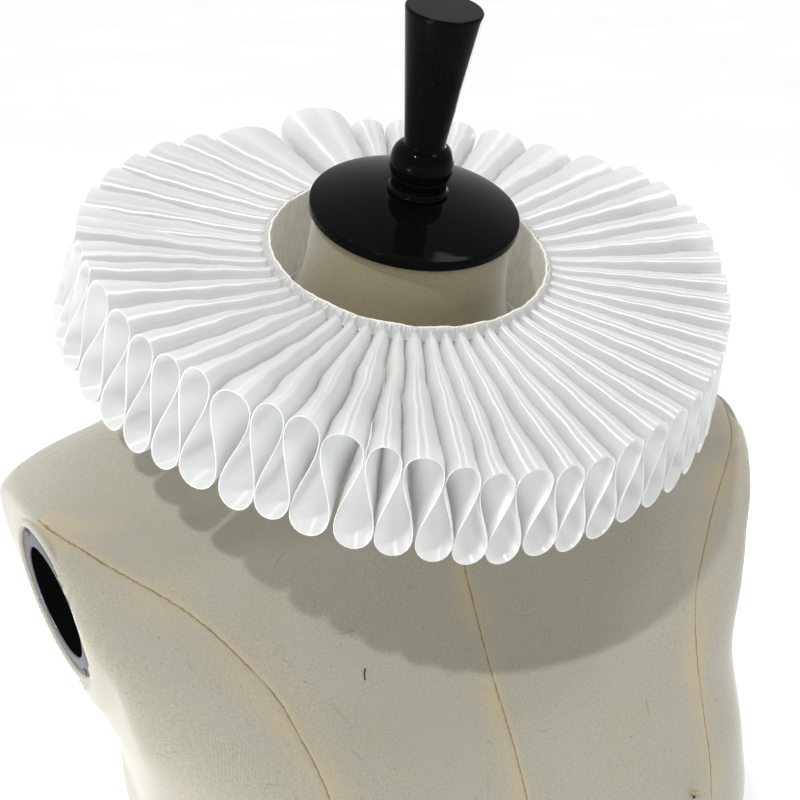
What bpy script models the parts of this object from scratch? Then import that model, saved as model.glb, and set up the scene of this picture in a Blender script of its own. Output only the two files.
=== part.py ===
"""Pleated satin ruff collar standing on a limbless dress form.

Metres, +Z up, front towards -Y. The form's flat underside lies on z = 0. The neck leans
forward, so the collar, the neck cap and the handle are set square to the neck's own axis.
"""
import math

import bmesh
import bpy
import numpy as np
from mathutils import Matrix, Vector

# Where the neck's axis crosses the plane of the ruff's upper edge, and how far it leans
NECK_POINT = (0.0, -0.0078, 0.600)
NECK_LEAN = math.radians(17.5)

# Ruffle: one ribbon pleated into figure-of-eight loops
RIBBON_WALL = 0.0010
RUFFLE_INNER_RADIUS = 0.0715
TOP_REACH = 0.0920
BOTTOM_REACH = 0.0970
NECK_DEPTH = 0.0450
RIM_DEPTH = 0.0510
LOOP_CLEARANCE = 0.0008
LOOP_FULLNESS = 0.70
POINTS_PER_PLEAT = 14
RADIAL_SPANS = 2
END_PLEAT_LIFT = 0.012
HEIGHT_UNEVEN = 0.0012
PLACE_UNEVEN = math.radians(0.30)
# Wander of the loops along the ribbon: speed, swerve and swerve speed, for each unit of phase
HEIGHT_WANDER = (1.9, 1.1, 0.8)
PLACE_WANDER = (2.4, 0.7, 1.3)

# A row for each stretch of the ribbon, from the back opening round by the left of the picture:
# first azimuth and last azimuth in degrees (0 is the front), and the pleats between them
PLEAT_STRETCHES = (
    ("start_deg", "end_deg", "pleats"),
    (-174.6, -159.0, 1),
    (-159.0, -106.0, 6),
    (-106.0, -71.0, 5),
    (-71.0, 75.0, 25),
    (75.0, 98.0, 3),
    (98.0, 129.0, 3),
    (129.0, 141.0, 1),
    (141.0, 168.0, 4),
    (168.0, 184.6, 1),
)

# How steeply the ruff rises (+) or droops (-) from the neckband at each azimuth
RUFF_SLOPES = (
    ("azimuth_deg", "slope_deg"),
    (-180.0, -7.0),
    (-135.0, 0.5),
    (-90.0, 11.0),
    (-45.0, 9.0),
    (0.0, -3.5),
    (45.0, 1.0),
    (90.0, 9.0),
    (135.0, -1.5),
    (180.0, -7.0),
)

# Neckband: an upright strip with its ends edge to edge at the back
BAND_INNER_RADIUS = 0.0698
BAND_WALL = 0.0013
BAND_TOP = 0.0035
BAND_BOTTOM = -0.0455
BAND_START_DEG = -174.6
BAND_END_DEG = 184.6
BAND_STEPS = 72

# Form: a row for each section, measured from NECK_POINT. half is the half width, front and
# back are the depths either side of the section's centre, and square is 2 for an ellipse.
FORM_SECTIONS = (
    ("y", "z", "lean_deg", "half", "front", "back", "front_square", "back_square"),
    (0.0000, -0.6000, 0.0, 0.1720, 0.1250, 0.1250, 2.40, 2.30),
    (0.0000, -0.5600, 0.0, 0.1740, 0.1280, 0.1270, 2.40, 2.30),
    (0.0000, -0.5000, 0.0, 0.1660, 0.1240, 0.1200, 2.40, 2.25),
    (0.0000, -0.4400, 0.0, 0.1440, 0.1100, 0.0980, 2.40, 2.20),
    (0.0000, -0.3950, 0.0, 0.1280, 0.1000, 0.0820, 2.40, 2.15),
    (0.0000, -0.3500, 0.0, 0.1420, 0.1280, 0.0920, 2.80, 2.20),
    (0.0000, -0.3050, 0.0, 0.1640, 0.1570, 0.1080, 4.20, 2.30),
    (0.0000, -0.2600, 0.0, 0.1670, 0.1500, 0.1150, 4.20, 2.40),
    (0.0000, -0.2200, 0.0, 0.1770, 0.1260, 0.1200, 3.60, 2.40),
    (0.0020, -0.1850, 2.0, 0.2000, 0.1000, 0.1200, 4.00, 2.60),
    (0.0040, -0.1550, 3.0, 0.2150, 0.0810, 0.1160, 5.20, 2.90),
    (0.0070, -0.1320, 4.0, 0.2190, 0.0700, 0.1060, 5.20, 3.00),
    (0.0100, -0.1150, 5.0, 0.2130, 0.0640, 0.0960, 4.40, 2.80),
    (0.0120, -0.1020, 7.0, 0.1920, 0.0580, 0.0850, 3.00, 2.30),
    (0.0135, -0.0900, 10.0, 0.1640, 0.0560, 0.0760, 2.60, 2.00),
    (0.0143, -0.0770, 13.0, 0.1280, 0.0560, 0.0790, 2.30, 2.00),
    (0.0146, -0.0630, 16.0, 0.0980, 0.0570, 0.0790, 2.10, 2.00),
    (0.0143, -0.0480, 17.5, 0.0742, 0.0570, 0.0730, 2.00, 2.00),
    (0.0120, -0.0381, 17.5, 0.0638, 0.0550, 0.0640, 2.00, 2.00),
    (0.0084, -0.0267, 17.5, 0.0560, 0.0530, 0.0560, 2.00, 2.00),
    (0.0030, -0.0095, 17.5, 0.0520, 0.0510, 0.0510, 2.00, 2.00),
    (-0.0063, 0.0200, 17.5, 0.0495, 0.0495, 0.0495, 2.00, 2.00),
)
FORM_ROWS_PER_SECTION = 2
FORM_COLUMNS = 44

# Flat places for the arm plates, measured from NECK_POINT
ARM_CENTRE = (0.1917, -0.0100, -0.1511)
ARM_TURN = math.radians(10.0)
ARM_DIP = math.radians(8.0)
ARM_BLEND = 0.004
ARM_SIDE_FROM = 0.10
ARM_LOWEST = -0.3950
ARM_HALF_WIDTH = 0.0400
ARM_HALF_HEIGHT = 0.0390
ARM_RING_WIDTH = 0.0100
ARM_RING_WALL = 0.0018
ARM_COVER_WALL = 0.0010
ARM_STEPS = 40

# Neck cap and handle: radius and height on the neck's axis, above NECK_POINT
CAP_PROFILE = (
    ("radius", "height"),
    (0.0515, 0.0213),
    (0.0525, 0.0222),
    (0.0525, 0.0258),
    (0.0508, 0.0271),
    (0.0440, 0.0294),
    (0.0350, 0.0318),
    (0.0250, 0.0339),
    (0.0152, 0.0353),
)
HANDLE_PROFILE = (
    ("radius", "height"),
    (0.0150, 0.0356),
    (0.0150, 0.0372),
    (0.0138, 0.0384),
    (0.0138, 0.0432),
    (0.0150, 0.0458),
    (0.0157, 0.0505),
    (0.0148, 0.0560),
    (0.0118, 0.0600),
    (0.0099, 0.0610),
    (0.0112, 0.0720),
    (0.0176, 0.1240),
    (0.0179, 0.1262),
    (0.0168, 0.1272),
)
TURNED_STEPS = 40

FIT_GAP = 0.0003
SHARP_ANGLE = math.radians(35.0)
SLOPE_STEP = 1e-4
MERGE_DISTANCE = 1e-6


def columns(table):
    """The table's rows as a dictionary of arrays, one for each named column."""
    names = table[0]
    rows = np.array(table[1:], float)
    return {name: rows[:, i] for i, name in enumerate(names)}


def material(name, colour, roughness, metallic=0.0):
    """A Principled material in one plain colour."""
    made = bpy.data.materials.new(name)
    made.use_nodes = True
    shader = made.node_tree.nodes["Principled BSDF"]
    shader.inputs["Base Color"].default_value = (*colour, 1.0)
    shader.inputs["Roughness"].default_value = roughness
    shader.inputs["Metallic"].default_value = metallic
    return made


def add_object(name, mesh, finish):
    """An object of the mesh, shaded smooth but for its sharp edges."""
    mesh.shade_smooth()
    mesh.set_sharp_from_angle(angle=SHARP_ANGLE)
    mesh.materials.append(finish)
    bpy.context.collection.objects.link(bpy.data.objects.new(name, mesh))


def add_faces(name, points, faces, finish):
    """An object made from points and the faces between them."""
    mesh = bpy.data.meshes.new(name)
    mesh.from_pydata(points.tolist(), [], faces)
    mesh.update()
    add_object(name, mesh, finish)


def neck_frame():
    """Moves points given square to the neck's axis to their place on the form."""
    return Matrix.Translation(Vector(NECK_POINT)) @ Matrix.Rotation(NECK_LEAN, 4, "X")


def to_world(points):
    """Neck points (side, back, up the axis) as world points."""
    place = np.array(neck_frame())
    return points @ place[:3, :3].T + place[:3, 3]


def wander(phase, waves):
    """A share from -1 to 1 that drifts unevenly along the ribbon."""
    speed, swerve, swerve_speed = waves
    return np.sin(speed * phase + swerve * np.sin(swerve_speed * phase))


def pleat_azimuth(phase):
    """Azimuth in radians at each phase, where one pleat is one unit of phase."""
    stretch = columns(PLEAT_STRETCHES)
    marks = np.concatenate([[0.0], np.cumsum(stretch["pleats"])])
    angles = np.concatenate([stretch["start_deg"][:1], stretch["end_deg"]])
    even = np.radians(np.interp(phase, marks, angles))
    before = np.minimum(phase, 0.0) * math.radians(angles[1] - angles[0])
    after = np.maximum(phase - marks[-1], 0.0) * math.radians(angles[-1] - angles[-2])
    return even + before + after + PLACE_UNEVEN * wander(phase, PLACE_WANDER)


def pleat_count():
    """How many pleats the ribbon has in all."""
    return int(columns(PLEAT_STRETCHES)["pleats"].sum())


def ruff_slope(azimuth):
    """The ruff's rise from the neckband, read smoothly from the table by a cosine blend."""
    table = columns(RUFF_SLOPES)
    degrees = (np.degrees(azimuth) + 180.0) % 360.0 - 180.0
    last = len(table["azimuth_deg"]) - 2
    row = np.clip(np.searchsorted(table["azimuth_deg"], degrees, side="right") - 1, 0, last)
    low = table["azimuth_deg"][row]
    share = (degrees - low) / (table["azimuth_deg"][row + 1] - low)
    blend = 0.5 - 0.5 * np.cos(math.pi * share)
    slope = table["slope_deg"][row] * (1.0 - blend) + table["slope_deg"][row + 1] * blend
    return np.radians(slope)


def ribbon_points(phase, out):
    """The ribbon's middle surface.

    Along the ribbon the height follows a cosine, top loop to bottom loop, and the azimuth
    swings by a double-speed sine, which makes each loop wide at its end and narrow at its
    root. The swing keeps within the room on the closer side. out runs from 0 at the neckband
    to 1 at the rim.
    """
    turn = 2.0 * math.pi * (phase - 0.5)
    upper = 0.5 + 0.5 * np.cos(turn)
    reach = BOTTOM_REACH + (TOP_REACH - BOTTOM_REACH) * upper
    radius = RUFFLE_INNER_RADIUS + reach * out
    middle = pleat_azimuth(phase)
    room = np.minimum(pleat_azimuth(phase + 0.5) - middle, middle - pleat_azimuth(phase - 0.5))
    swing = LOOP_FULLNESS * (room * radius - LOOP_CLEARANCE) * np.sin(2.0 * turn)
    azimuth = middle + swing / radius
    last = np.clip(phase - pleat_count() + 1.0, 0.0, 1.0)
    depth = NECK_DEPTH + (RIM_DEPTH - NECK_DEPTH) * out
    uneven = HEIGHT_UNEVEN * wander(phase, HEIGHT_WANDER) * out
    lift = END_PLEAT_LIFT * np.sin(math.pi * last) ** 2 * out * upper
    down = -depth * (1.0 - upper)
    slope = ruff_slope(middle)
    along = RUFFLE_INNER_RADIUS + reach * out * np.cos(slope)
    height = down * np.cos(slope * out) + uneven + lift + reach * out * np.sin(slope)
    along = along - down * np.sin(slope) * out
    return np.stack([along * np.sin(azimuth), -along * np.cos(azimuth), height], axis=-1)


def ruffle(finish):
    """The pleated ribbon: a closed wall either side of its middle surface."""
    steps = pleat_count() * POINTS_PER_PLEAT
    phase, out = np.meshgrid(
        np.linspace(0.0, pleat_count(), steps + 1),
        np.linspace(0.0, 1.0, RADIAL_SPANS + 1),
        indexing="ij",
    )
    middle = ribbon_points(phase, out)
    along = ribbon_points(phase + SLOPE_STEP, out) - ribbon_points(phase - SLOPE_STEP, out)
    across = ribbon_points(phase, out + SLOPE_STEP) - ribbon_points(phase, out - SLOPE_STEP)
    normal = np.cross(along, across)
    normal[:, 0] = flat_to_band(normal[:, 0], middle[:, 0])
    normal /= np.linalg.norm(normal, axis=-1, keepdims=True)
    front = middle + 0.5 * RIBBON_WALL * normal
    back = middle - 0.5 * RIBBON_WALL * normal
    points = to_world(np.concatenate([front.reshape(-1, 3), back.reshape(-1, 3)]))
    add_faces("ruffle", points, wall_faces(steps + 1, RADIAL_SPANS + 1), finish)


def flat_to_band(normal, place):
    """Normals with their radial share taken out, so that the sewn edge keeps its radius."""
    radial = place * np.array([1.0, 1.0, 0.0])
    radial /= np.linalg.norm(radial, axis=-1, keepdims=True)
    return normal - radial * np.sum(normal * radial, axis=-1, keepdims=True)


def wall_faces(rows, cols):
    """Quads of a closed wall made of two grids of rows by cols points, joined at the edges."""
    count = rows * cols
    faces = []
    for i in range(rows - 1):
        for j in range(cols - 1):
            a = i * cols + j
            b = a + cols
            faces.append((a, b, b + 1, a + 1))
            faces.append((count + a, count + a + 1, count + b + 1, count + b))
    for i in range(rows - 1):
        low = i * cols
        high = low + cols - 1
        faces.append((low, count + low, count + low + cols, low + cols))
        faces.append((high, high + cols, count + high + cols, count + high))
    for j in range(cols - 1):
        end = (rows - 1) * cols + j
        faces.append((j, j + 1, count + j + 1, count + j))
        faces.append((end, count + end, count + end + 1, end + 1))
    return faces


def neckband(finish):
    """An upright strip round the neck, open at the back by the ribbon's own gap."""
    azimuth = np.radians(np.linspace(BAND_START_DEG, BAND_END_DEG, BAND_STEPS + 1))
    heights = np.array([BAND_BOTTOM, BAND_TOP])
    angle, height = np.meshgrid(azimuth, heights, indexing="ij")
    walls = []
    for radius in (BAND_INNER_RADIUS + BAND_WALL, BAND_INNER_RADIUS):
        wall = np.stack([radius * np.sin(angle), -radius * np.cos(angle), height], axis=-1)
        walls.append(wall.reshape(-1, 3))
    points = to_world(np.concatenate(walls))
    add_faces("neckband", points, wall_faces(BAND_STEPS + 1, len(heights)), finish)


def smooth_rows(values, per_section):
    """Values between the table's rows on a smooth curve through them."""
    count = len(values)
    slope = np.gradient(values)
    place = np.linspace(0.0, count - 1.0, (count - 1) * per_section + 1)
    row = np.minimum(place.astype(int), count - 2)
    t = place - row
    start = values[row] * (1.0 + 2.0 * t) * (1.0 - t) ** 2 + slope[row] * t * (1.0 - t) ** 2
    end = values[row + 1] * t * t * (3.0 - 2.0 * t) + slope[row + 1] * t * t * (t - 1.0)
    return start + end


def arm_facing(side):
    """The direction in which an arm plate faces: outwards, a little forward and down."""
    outward = side * math.cos(ARM_TURN) * math.cos(ARM_DIP)
    forward = math.sin(ARM_TURN) * math.cos(ARM_DIP)
    return np.array([outward, -forward, -math.sin(ARM_DIP)])


def flatten_arms(points):
    """Presses each side above the waist softly back to the plane of its arm plate."""
    flat = points.copy()
    for side in (-1.0, 1.0):
        facing = arm_facing(side)
        plane = float(facing @ (np.array(ARM_CENTRE) * np.array([side, 1.0, 1.0])))
        beyond = flat @ facing - plane
        kept = 0.5 * (beyond - np.sqrt(beyond ** 2 + ARM_BLEND ** 2))
        near = (points[..., 0] * side > ARM_SIDE_FROM) & (points[..., 2] > ARM_LOWEST)
        pressed = np.where(near, kept - beyond, 0.0)
        flat = flat + pressed[..., None] * facing
    return flat


def form_points(per_section, steps):
    """Sections of the form, each a rounded oval in its own leaning plane."""
    table = columns(FORM_SECTIONS)
    smooth = {name: smooth_rows(values, per_section) for name, values in table.items()}
    angle = np.linspace(0.0, 2.0 * math.pi, steps, endpoint=False)
    sine = np.sin(angle)[None, :]
    cosine = np.cos(angle)[None, :]
    ahead = cosine > 0.0
    square = np.where(ahead, smooth["front_square"][:, None], smooth["back_square"][:, None])
    power = 2.0 / square
    side = smooth["half"][:, None] * np.sign(sine) * np.abs(sine) ** power
    depth = np.where(ahead, smooth["front"][:, None], smooth["back"][:, None])
    forward = depth * np.sign(cosine) * np.abs(cosine) ** power
    lean = np.radians(smooth["lean_deg"])[:, None]
    y = smooth["y"][:, None] - forward * np.cos(lean)
    z = smooth["z"][:, None] - forward * np.sin(lean)
    return flatten_arms(np.stack([side, y, z], axis=-1))


def form_torso(finish):
    """The covered body of the form, closed flat at the foot and under the neck cap."""
    rings = form_points(FORM_ROWS_PER_SECTION, FORM_COLUMNS)
    rows, cols = rings.shape[:2]
    points = rings.reshape(-1, 3) + np.array(NECK_POINT)
    faces = []
    for i in range(rows - 1):
        for j in range(cols):
            k = (j + 1) % cols
            low = i * cols
            high = low + cols
            faces.append((low + j, low + k, high + k, high + j))
    faces.append(tuple(range(cols))[::-1])
    faces.append(tuple((rows - 1) * cols + j for j in range(cols)))
    add_faces("form_torso", points, faces, finish)


def turned(name, profile, finish):
    """A solid of revolution about the neck's axis, spun from its profile."""
    table = columns(profile)
    work = bmesh.new()
    outline = [work.verts.new((r, 0.0, h)) for r, h in zip(table["radius"], table["height"])]
    edges = [work.edges.new(pair) for pair in zip(outline[:-1], outline[1:])]
    bmesh.ops.spin(
        work, geom=outline + edges, cent=(0.0, 0.0, 0.0), axis=(0.0, 0.0, 1.0),
        angle=2.0 * math.pi, steps=TURNED_STEPS, use_merge=True,
    )
    bmesh.ops.remove_doubles(work, verts=work.verts, dist=MERGE_DISTANCE)
    bmesh.ops.holes_fill(work, edges=[edge for edge in work.edges if edge.is_boundary])
    bmesh.ops.recalc_face_normals(work, faces=work.faces)
    work.transform(neck_frame())
    mesh = bpy.data.meshes.new(name)
    work.to_mesh(mesh)
    work.free()
    add_object(name, mesh, finish)


def oval_loop(side, half_sizes, height):
    """Points round an oval on the flat of one arm, at a height off the form."""
    facing = arm_facing(side)
    centre = np.array(NECK_POINT) + np.array(ARM_CENTRE) * np.array([side, 1.0, 1.0])
    across = np.cross([0.0, 0.0, 1.0], facing)
    across /= np.linalg.norm(across)
    upward = np.cross(facing, across)
    angle = np.linspace(0.0, 2.0 * math.pi, ARM_STEPS, endpoint=False)[:, None]
    round_oval = half_sizes[0] * np.cos(angle) * across + half_sizes[1] * np.sin(angle) * upward
    return centre + facing * height + round_oval


def joined_loops(pairs):
    """Quads between pairs of loops, each loop having the same number of points."""
    faces = []
    for low, high in pairs:
        for j in range(ARM_STEPS):
            k = (j + 1) % ARM_STEPS
            a = low * ARM_STEPS
            b = high * ARM_STEPS
            faces.append((a + j, a + k, b + k, b + j))
    return faces


def arm_plates(ring_finish, cover_finish):
    """A metal ring and the dark plate inside it, on each arm, a fit gap off the form."""
    outer = (ARM_HALF_WIDTH, ARM_HALF_HEIGHT)
    inner = (ARM_HALF_WIDTH - ARM_RING_WIDTH, ARM_HALF_HEIGHT - ARM_RING_WIDTH)
    plate = (inner[0] - FIT_GAP, inner[1] - FIT_GAP)
    ring_top = FIT_GAP + ARM_RING_WALL
    plate_top = FIT_GAP + ARM_COVER_WALL
    ring_faces = joined_loops([(0, 1), (1, 2), (2, 3), (3, 0)])
    plate_faces = joined_loops([(0, 1)])
    plate_faces.append(tuple(reversed(range(ARM_STEPS))))
    plate_faces.append(tuple(range(ARM_STEPS, 2 * ARM_STEPS)))
    for side, word in ((-1.0, "right"), (1.0, "left")):
        ring = [(outer, FIT_GAP), (outer, ring_top), (inner, ring_top), (inner, FIT_GAP)]
        cover = [(plate, FIT_GAP), (plate, plate_top)]
        ring_points = np.concatenate([oval_loop(side, *loop) for loop in ring])
        cover_points = np.concatenate([oval_loop(side, *loop) for loop in cover])
        add_faces("arm_ring_" + word, ring_points, ring_faces, ring_finish)
        add_faces("arm_cover_" + word, cover_points, plate_faces, cover_finish)


def main():
    for old in list(bpy.data.objects):
        bpy.data.objects.remove(old, do_unlink=True)
    satin = material("white_satin", (0.80, 0.81, 0.80), 0.38)
    band = material("white_band", (0.72, 0.72, 0.68), 0.55)
    linen = material("beige_linen", (0.46, 0.43, 0.34), 0.90)
    black = material("black_lacquer", (0.010, 0.010, 0.012), 0.10)
    steel = material("grey_steel", (0.35, 0.35, 0.38), 0.35, 0.9)
    dark = material("black_plate", (0.006, 0.006, 0.006), 0.6)
    ruffle(satin)
    neckband(band)
    form_torso(linen)
    turned("neck_cap", CAP_PROFILE, black)
    turned("handle", HANDLE_PROFILE, black)
    arm_plates(steel, dark)


if __name__ == "__main__":
    main()
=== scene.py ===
"""Looks of a pleated satin ruff collar standing on a linen dress form.

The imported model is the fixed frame. Each operator makes one kind of piece round it, as a surface
worked out with numpy, and gives it a procedural material. Metres, +Z up, front towards -Y.
"""

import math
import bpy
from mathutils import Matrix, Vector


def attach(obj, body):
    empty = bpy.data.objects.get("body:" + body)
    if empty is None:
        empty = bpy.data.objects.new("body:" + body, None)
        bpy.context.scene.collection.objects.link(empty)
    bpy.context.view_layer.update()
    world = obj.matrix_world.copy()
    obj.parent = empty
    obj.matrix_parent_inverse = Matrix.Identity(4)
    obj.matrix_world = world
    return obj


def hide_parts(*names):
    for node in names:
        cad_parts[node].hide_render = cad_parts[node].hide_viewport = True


bl_info = {
    "name": "Ruff Collar Looks",
    "version": (1, 0, 0),
    "blender": (4, 5, 0),
    "location": "View3D > Sidebar > Ruff Collar",
    "description": "Builds the satin ruff, its neckband and the linen form round a packed model",
    "category": "Object",
}

import bmesh
import bpy
import numpy as np

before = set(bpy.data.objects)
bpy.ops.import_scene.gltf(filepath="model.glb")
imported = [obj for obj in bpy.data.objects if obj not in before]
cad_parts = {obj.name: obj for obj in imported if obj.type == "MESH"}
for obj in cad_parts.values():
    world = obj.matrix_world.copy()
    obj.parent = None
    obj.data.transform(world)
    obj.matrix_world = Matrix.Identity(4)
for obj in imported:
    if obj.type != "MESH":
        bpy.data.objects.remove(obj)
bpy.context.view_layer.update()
BODY = "root"
MERGE_DISTANCE = 1e-6

# The neck's axis: where it crosses the plane of the ruff's upper edge, and its forward lean
NECK_POINT = np.array([0.0, -0.0078, 0.600])
NECK_LEAN = math.radians(17.5)

# Ribbon of the ruff, as the solid has it
RUFFLE_INNER_RADIUS = 0.0715
TOP_REACH = 0.0920
BOTTOM_REACH = 0.0970
NECK_DEPTH = 0.0450
RIM_DEPTH = 0.0510
LOOP_CLEARANCE = 0.0004
END_PLEAT_LIFT = 0.012
HEIGHT_DRIFT = 0.0012
HEIGHT_WANDER = (1.9, 1.1, 0.8)
PLACE_DRIFT = math.radians(0.30)
PLACE_WANDER = (2.4, 0.7, 1.3)
ROOT_RISE = 0.0020
ROOT_REACH = 0.05
WAVES_GROWN = 0.35
STEPS_PER_PLEAT = 36
RIBBON_ROWS = 24
SELVEDGE_FROM = 0.993

# Painted glow inside the loops, an emission standing in for light through the satin: what it loses
# towards the rim, its strength in the lower loops, and the heights, as shares of the ribbon's own,
# between which it comes in
GLOW_FADE = 0.55
LOWER_GLOW = 0.85
LOWER_GLOW_FROM = (0.75, 0.35)
UPPER_GLOW_FROM = (0.25, 0.65)

# Stretches of the ribbon round the neck, 0 degrees at the front, with the pleats in each
PLEAT_STRETCHES = (
    ("start_deg", "end_deg", "pleats"),
    (-174.6, -159.0, 1),
    (-159.0, -106.0, 6),
    (-106.0, -71.0, 5),
    (-71.0, 75.0, 25),
    (75.0, 98.0, 3),
    (98.0, 129.0, 3),
    (129.0, 141.0, 1),
    (141.0, 168.0, 4),
    (168.0, 184.6, 1),
)

# How steeply the ruff rises (+) or droops (-) from the neckband at each azimuth
RUFF_SLOPES = (
    ("azimuth_deg", "slope_deg"),
    (-180.0, -7.0),
    (-135.0, 0.5),
    (-90.0, 11.0),
    (-45.0, 9.0),
    (0.0, -3.5),
    (45.0, 1.0),
    (90.0, 9.0),
    (135.0, -1.5),
    (180.0, -7.0),
)

# Waves that bend the ridges sideways and up along their length: how strong each is, and its
# turns for each length of ridge and for each pleat
RIDGE_WAVES = (
    ("share", "along", "pleat", "start"),
    (0.55, 7.0, 1.9, 0.4),
    (0.30, 15.0, 3.1, 1.7),
    (0.18, 29.0, -2.3, 0.9),
)

# The ribbon's gathered edge over the band
HEADING_START = 0.0712
HEADING_END = 0.0748
HEADING_TOP = 0.0031
HEADING_FOOT = 0.0008
HEADING_DEPTH = 0.0030
HEADING_GATHER = 0.00016
HEADING_END_GAP_DEG = 1.0
HEADING_STEPS_PER_PLEAT = 30
HEADING_ROWS = 10

# Neckband. Its cream edge comes in between the two depths under its top
BAND_INNER_RADIUS = 0.0698
BAND_WALL = 0.0013
BAND_TOP = 0.0035
BAND_BOTTOM = -0.0466
BAND_START_DEG = -174.6
BAND_END_DEG = 184.6
BAND_RIPPLE = 0.00016
BAND_TOP_WAVE = 0.00035
BAND_WAVE_FOOT = -0.004
BAND_EDGE_DEPTH = (0.0016, 0.0009)
BAND_STEPS = 540
BAND_ARC_POINTS = 9
BAND_WALL_POINTS = 12

# Sections of the form, measured from NECK_POINT, as the solid has them
FORM_SECTIONS = (
    ("y", "z", "lean_deg", "half", "front", "back", "front_square", "back_square"),
    (0.0000, -0.6000, 0.0, 0.1720, 0.1250, 0.1250, 2.40, 2.30),
    (0.0000, -0.5600, 0.0, 0.1740, 0.1280, 0.1270, 2.40, 2.30),
    (0.0000, -0.5000, 0.0, 0.1660, 0.1240, 0.1200, 2.40, 2.25),
    (0.0000, -0.4400, 0.0, 0.1440, 0.1100, 0.0980, 2.40, 2.20),
    (0.0000, -0.3950, 0.0, 0.1280, 0.1000, 0.0820, 2.40, 2.15),
    (0.0000, -0.3500, 0.0, 0.1420, 0.1280, 0.0920, 2.80, 2.20),
    (0.0000, -0.3050, 0.0, 0.1640, 0.1570, 0.1080, 4.20, 2.30),
    (0.0000, -0.2600, 0.0, 0.1670, 0.1500, 0.1150, 4.20, 2.40),
    (0.0000, -0.2200, 0.0, 0.1770, 0.1260, 0.1200, 3.60, 2.40),
    (0.0020, -0.1850, 2.0, 0.2000, 0.1000, 0.1200, 4.00, 2.60),
    (0.0040, -0.1550, 3.0, 0.2150, 0.0810, 0.1160, 5.20, 2.90),
    (0.0070, -0.1320, 4.0, 0.2190, 0.0700, 0.1060, 5.20, 3.00),
    (0.0100, -0.1150, 5.0, 0.2130, 0.0640, 0.0960, 4.40, 2.80),
    (0.0120, -0.1020, 7.0, 0.1920, 0.0580, 0.0850, 3.00, 2.30),
    (0.0135, -0.0900, 10.0, 0.1640, 0.0560, 0.0760, 2.60, 2.00),
    (0.0143, -0.0770, 13.0, 0.1280, 0.0560, 0.0790, 2.30, 2.00),
    (0.0146, -0.0630, 16.0, 0.0980, 0.0570, 0.0790, 2.10, 2.00),
    (0.0143, -0.0480, 17.5, 0.0742, 0.0570, 0.0730, 2.00, 2.00),
    (0.0120, -0.0381, 17.5, 0.0638, 0.0550, 0.0640, 2.00, 2.00),
    (0.0084, -0.0267, 17.5, 0.0560, 0.0530, 0.0560, 2.00, 2.00),
    (0.0030, -0.0095, 17.5, 0.0520, 0.0510, 0.0510, 2.00, 2.00),
    (-0.0063, 0.0200, 17.5, 0.0495, 0.0495, 0.0495, 2.00, 2.00),
)
FORM_ROWS_PER_SECTION = 8
FORM_COLUMNS = 236
SIDE_CROWDING = 0.25

# Seams of the linen cover, measured from NECK_POINT: how far the princess seams lie from the
# middle at each height, for the right and left ones of the front and for both of the back
PRINCESS_SEAMS = (
    ("z", "front_right", "front_left", "back"),
    (-0.600, 0.092, 0.092, 0.085),
    (-0.500, 0.080, 0.082, 0.072),
    (-0.395, 0.062, 0.074, 0.052),
    (-0.305, 0.084, 0.101, 0.066),
    (-0.240, 0.092, 0.112, 0.080),
    (-0.210, 0.097, 0.119, 0.088),
    (-0.180, 0.108, 0.132, 0.098),
    (-0.155, 0.127, 0.150, 0.112),
    (-0.140, 0.141, 0.162, 0.128),
    (-0.122, 0.165, 0.179, 0.155),
    (-0.106, 0.193, 0.197, 0.190),
    (-0.098, 0.230, 0.230, 0.230),
)
SEAM_SOFTENING = 0.007
FRONT_SEAM_END = -0.005
BACK_SEAM_END = 0.050
SHOULDER_END = 0.170
SHOULDER_FOOT = -0.16
NECK_FOOT = -0.056
NECK_BLEND = 0.02
NO_SEAM = 1.0
SIDE_SEAM_BACK = 0.010
SIDE_SEAM_FADE = (-0.205, -0.225)
SHOULDER_SEAM_BACK = 0.042
SHOULDER_SEAM_FADE = (-0.122, -0.112)
SHOULDER_SEAM_OUTER = (0.192, 0.180)
SEAM_NECK_CLEAR = (0.060, 0.070)

# Threads on the linen, measured from NECK_POINT: where each starts, the way that it runs
# sideways, forwards and up, how far, and its radius. First the dark ones, a loose thread and the
# stub in the hole under the tuft, then the pale ones, a small tuft and frayed ends at an armhole
LOOSE_THREADS = (
    ("x", "y", "z", "aside", "ahead", "up", "length", "radius"),
    (-0.0635, -0.0893, -0.1769, -0.26, 0.55, -0.79, 0.0055, 0.00040),
    (0.0946, -0.1462, -0.2640, 0.10, 1.00, -0.20, 0.0022, 0.00120),
)
TUFT_THREADS = (
    ("x", "y", "z", "aside", "ahead", "up", "length", "radius"),
    (0.0942, -0.1473, -0.2615, -0.80, 0.60, 0.35, 0.0045, 0.00036),
    (0.0942, -0.1473, -0.2615, -0.35, 0.70, 0.70, 0.0050, 0.00036),
    (0.0942, -0.1473, -0.2615, 0.10, 0.70, 0.85, 0.0060, 0.00038),
    (0.0942, -0.1473, -0.2615, 0.60, 0.60, 0.60, 0.0045, 0.00036),
    (0.0942, -0.1473, -0.2615, 0.75, 0.80, -0.10, 0.0035, 0.00034),
    (0.0942, -0.1473, -0.2615, -0.60, 0.80, -0.30, 0.0035, 0.00034),
    (-0.1852, -0.0190, -0.1905, -0.60, 0.30, -0.60, 0.0050, 0.00016),
    (-0.1852, -0.0200, -0.1910, -0.20, 0.60, -0.80, 0.0060, 0.00016),
    (-0.1852, -0.0175, -0.1905, -0.40, -0.20, -0.90, 0.0045, 0.00016),
)
LOOSE_COLOURS = ((0.05, 0.05, 0.06), (0.02, 0.02, 0.03))
TUFT_COLOURS = ((0.60, 0.50, 0.28), (0.36, 0.29, 0.16))
THREAD_BOW = 0.08
THREAD_STEPS = 8
THREAD_SIDES = 6

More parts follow.
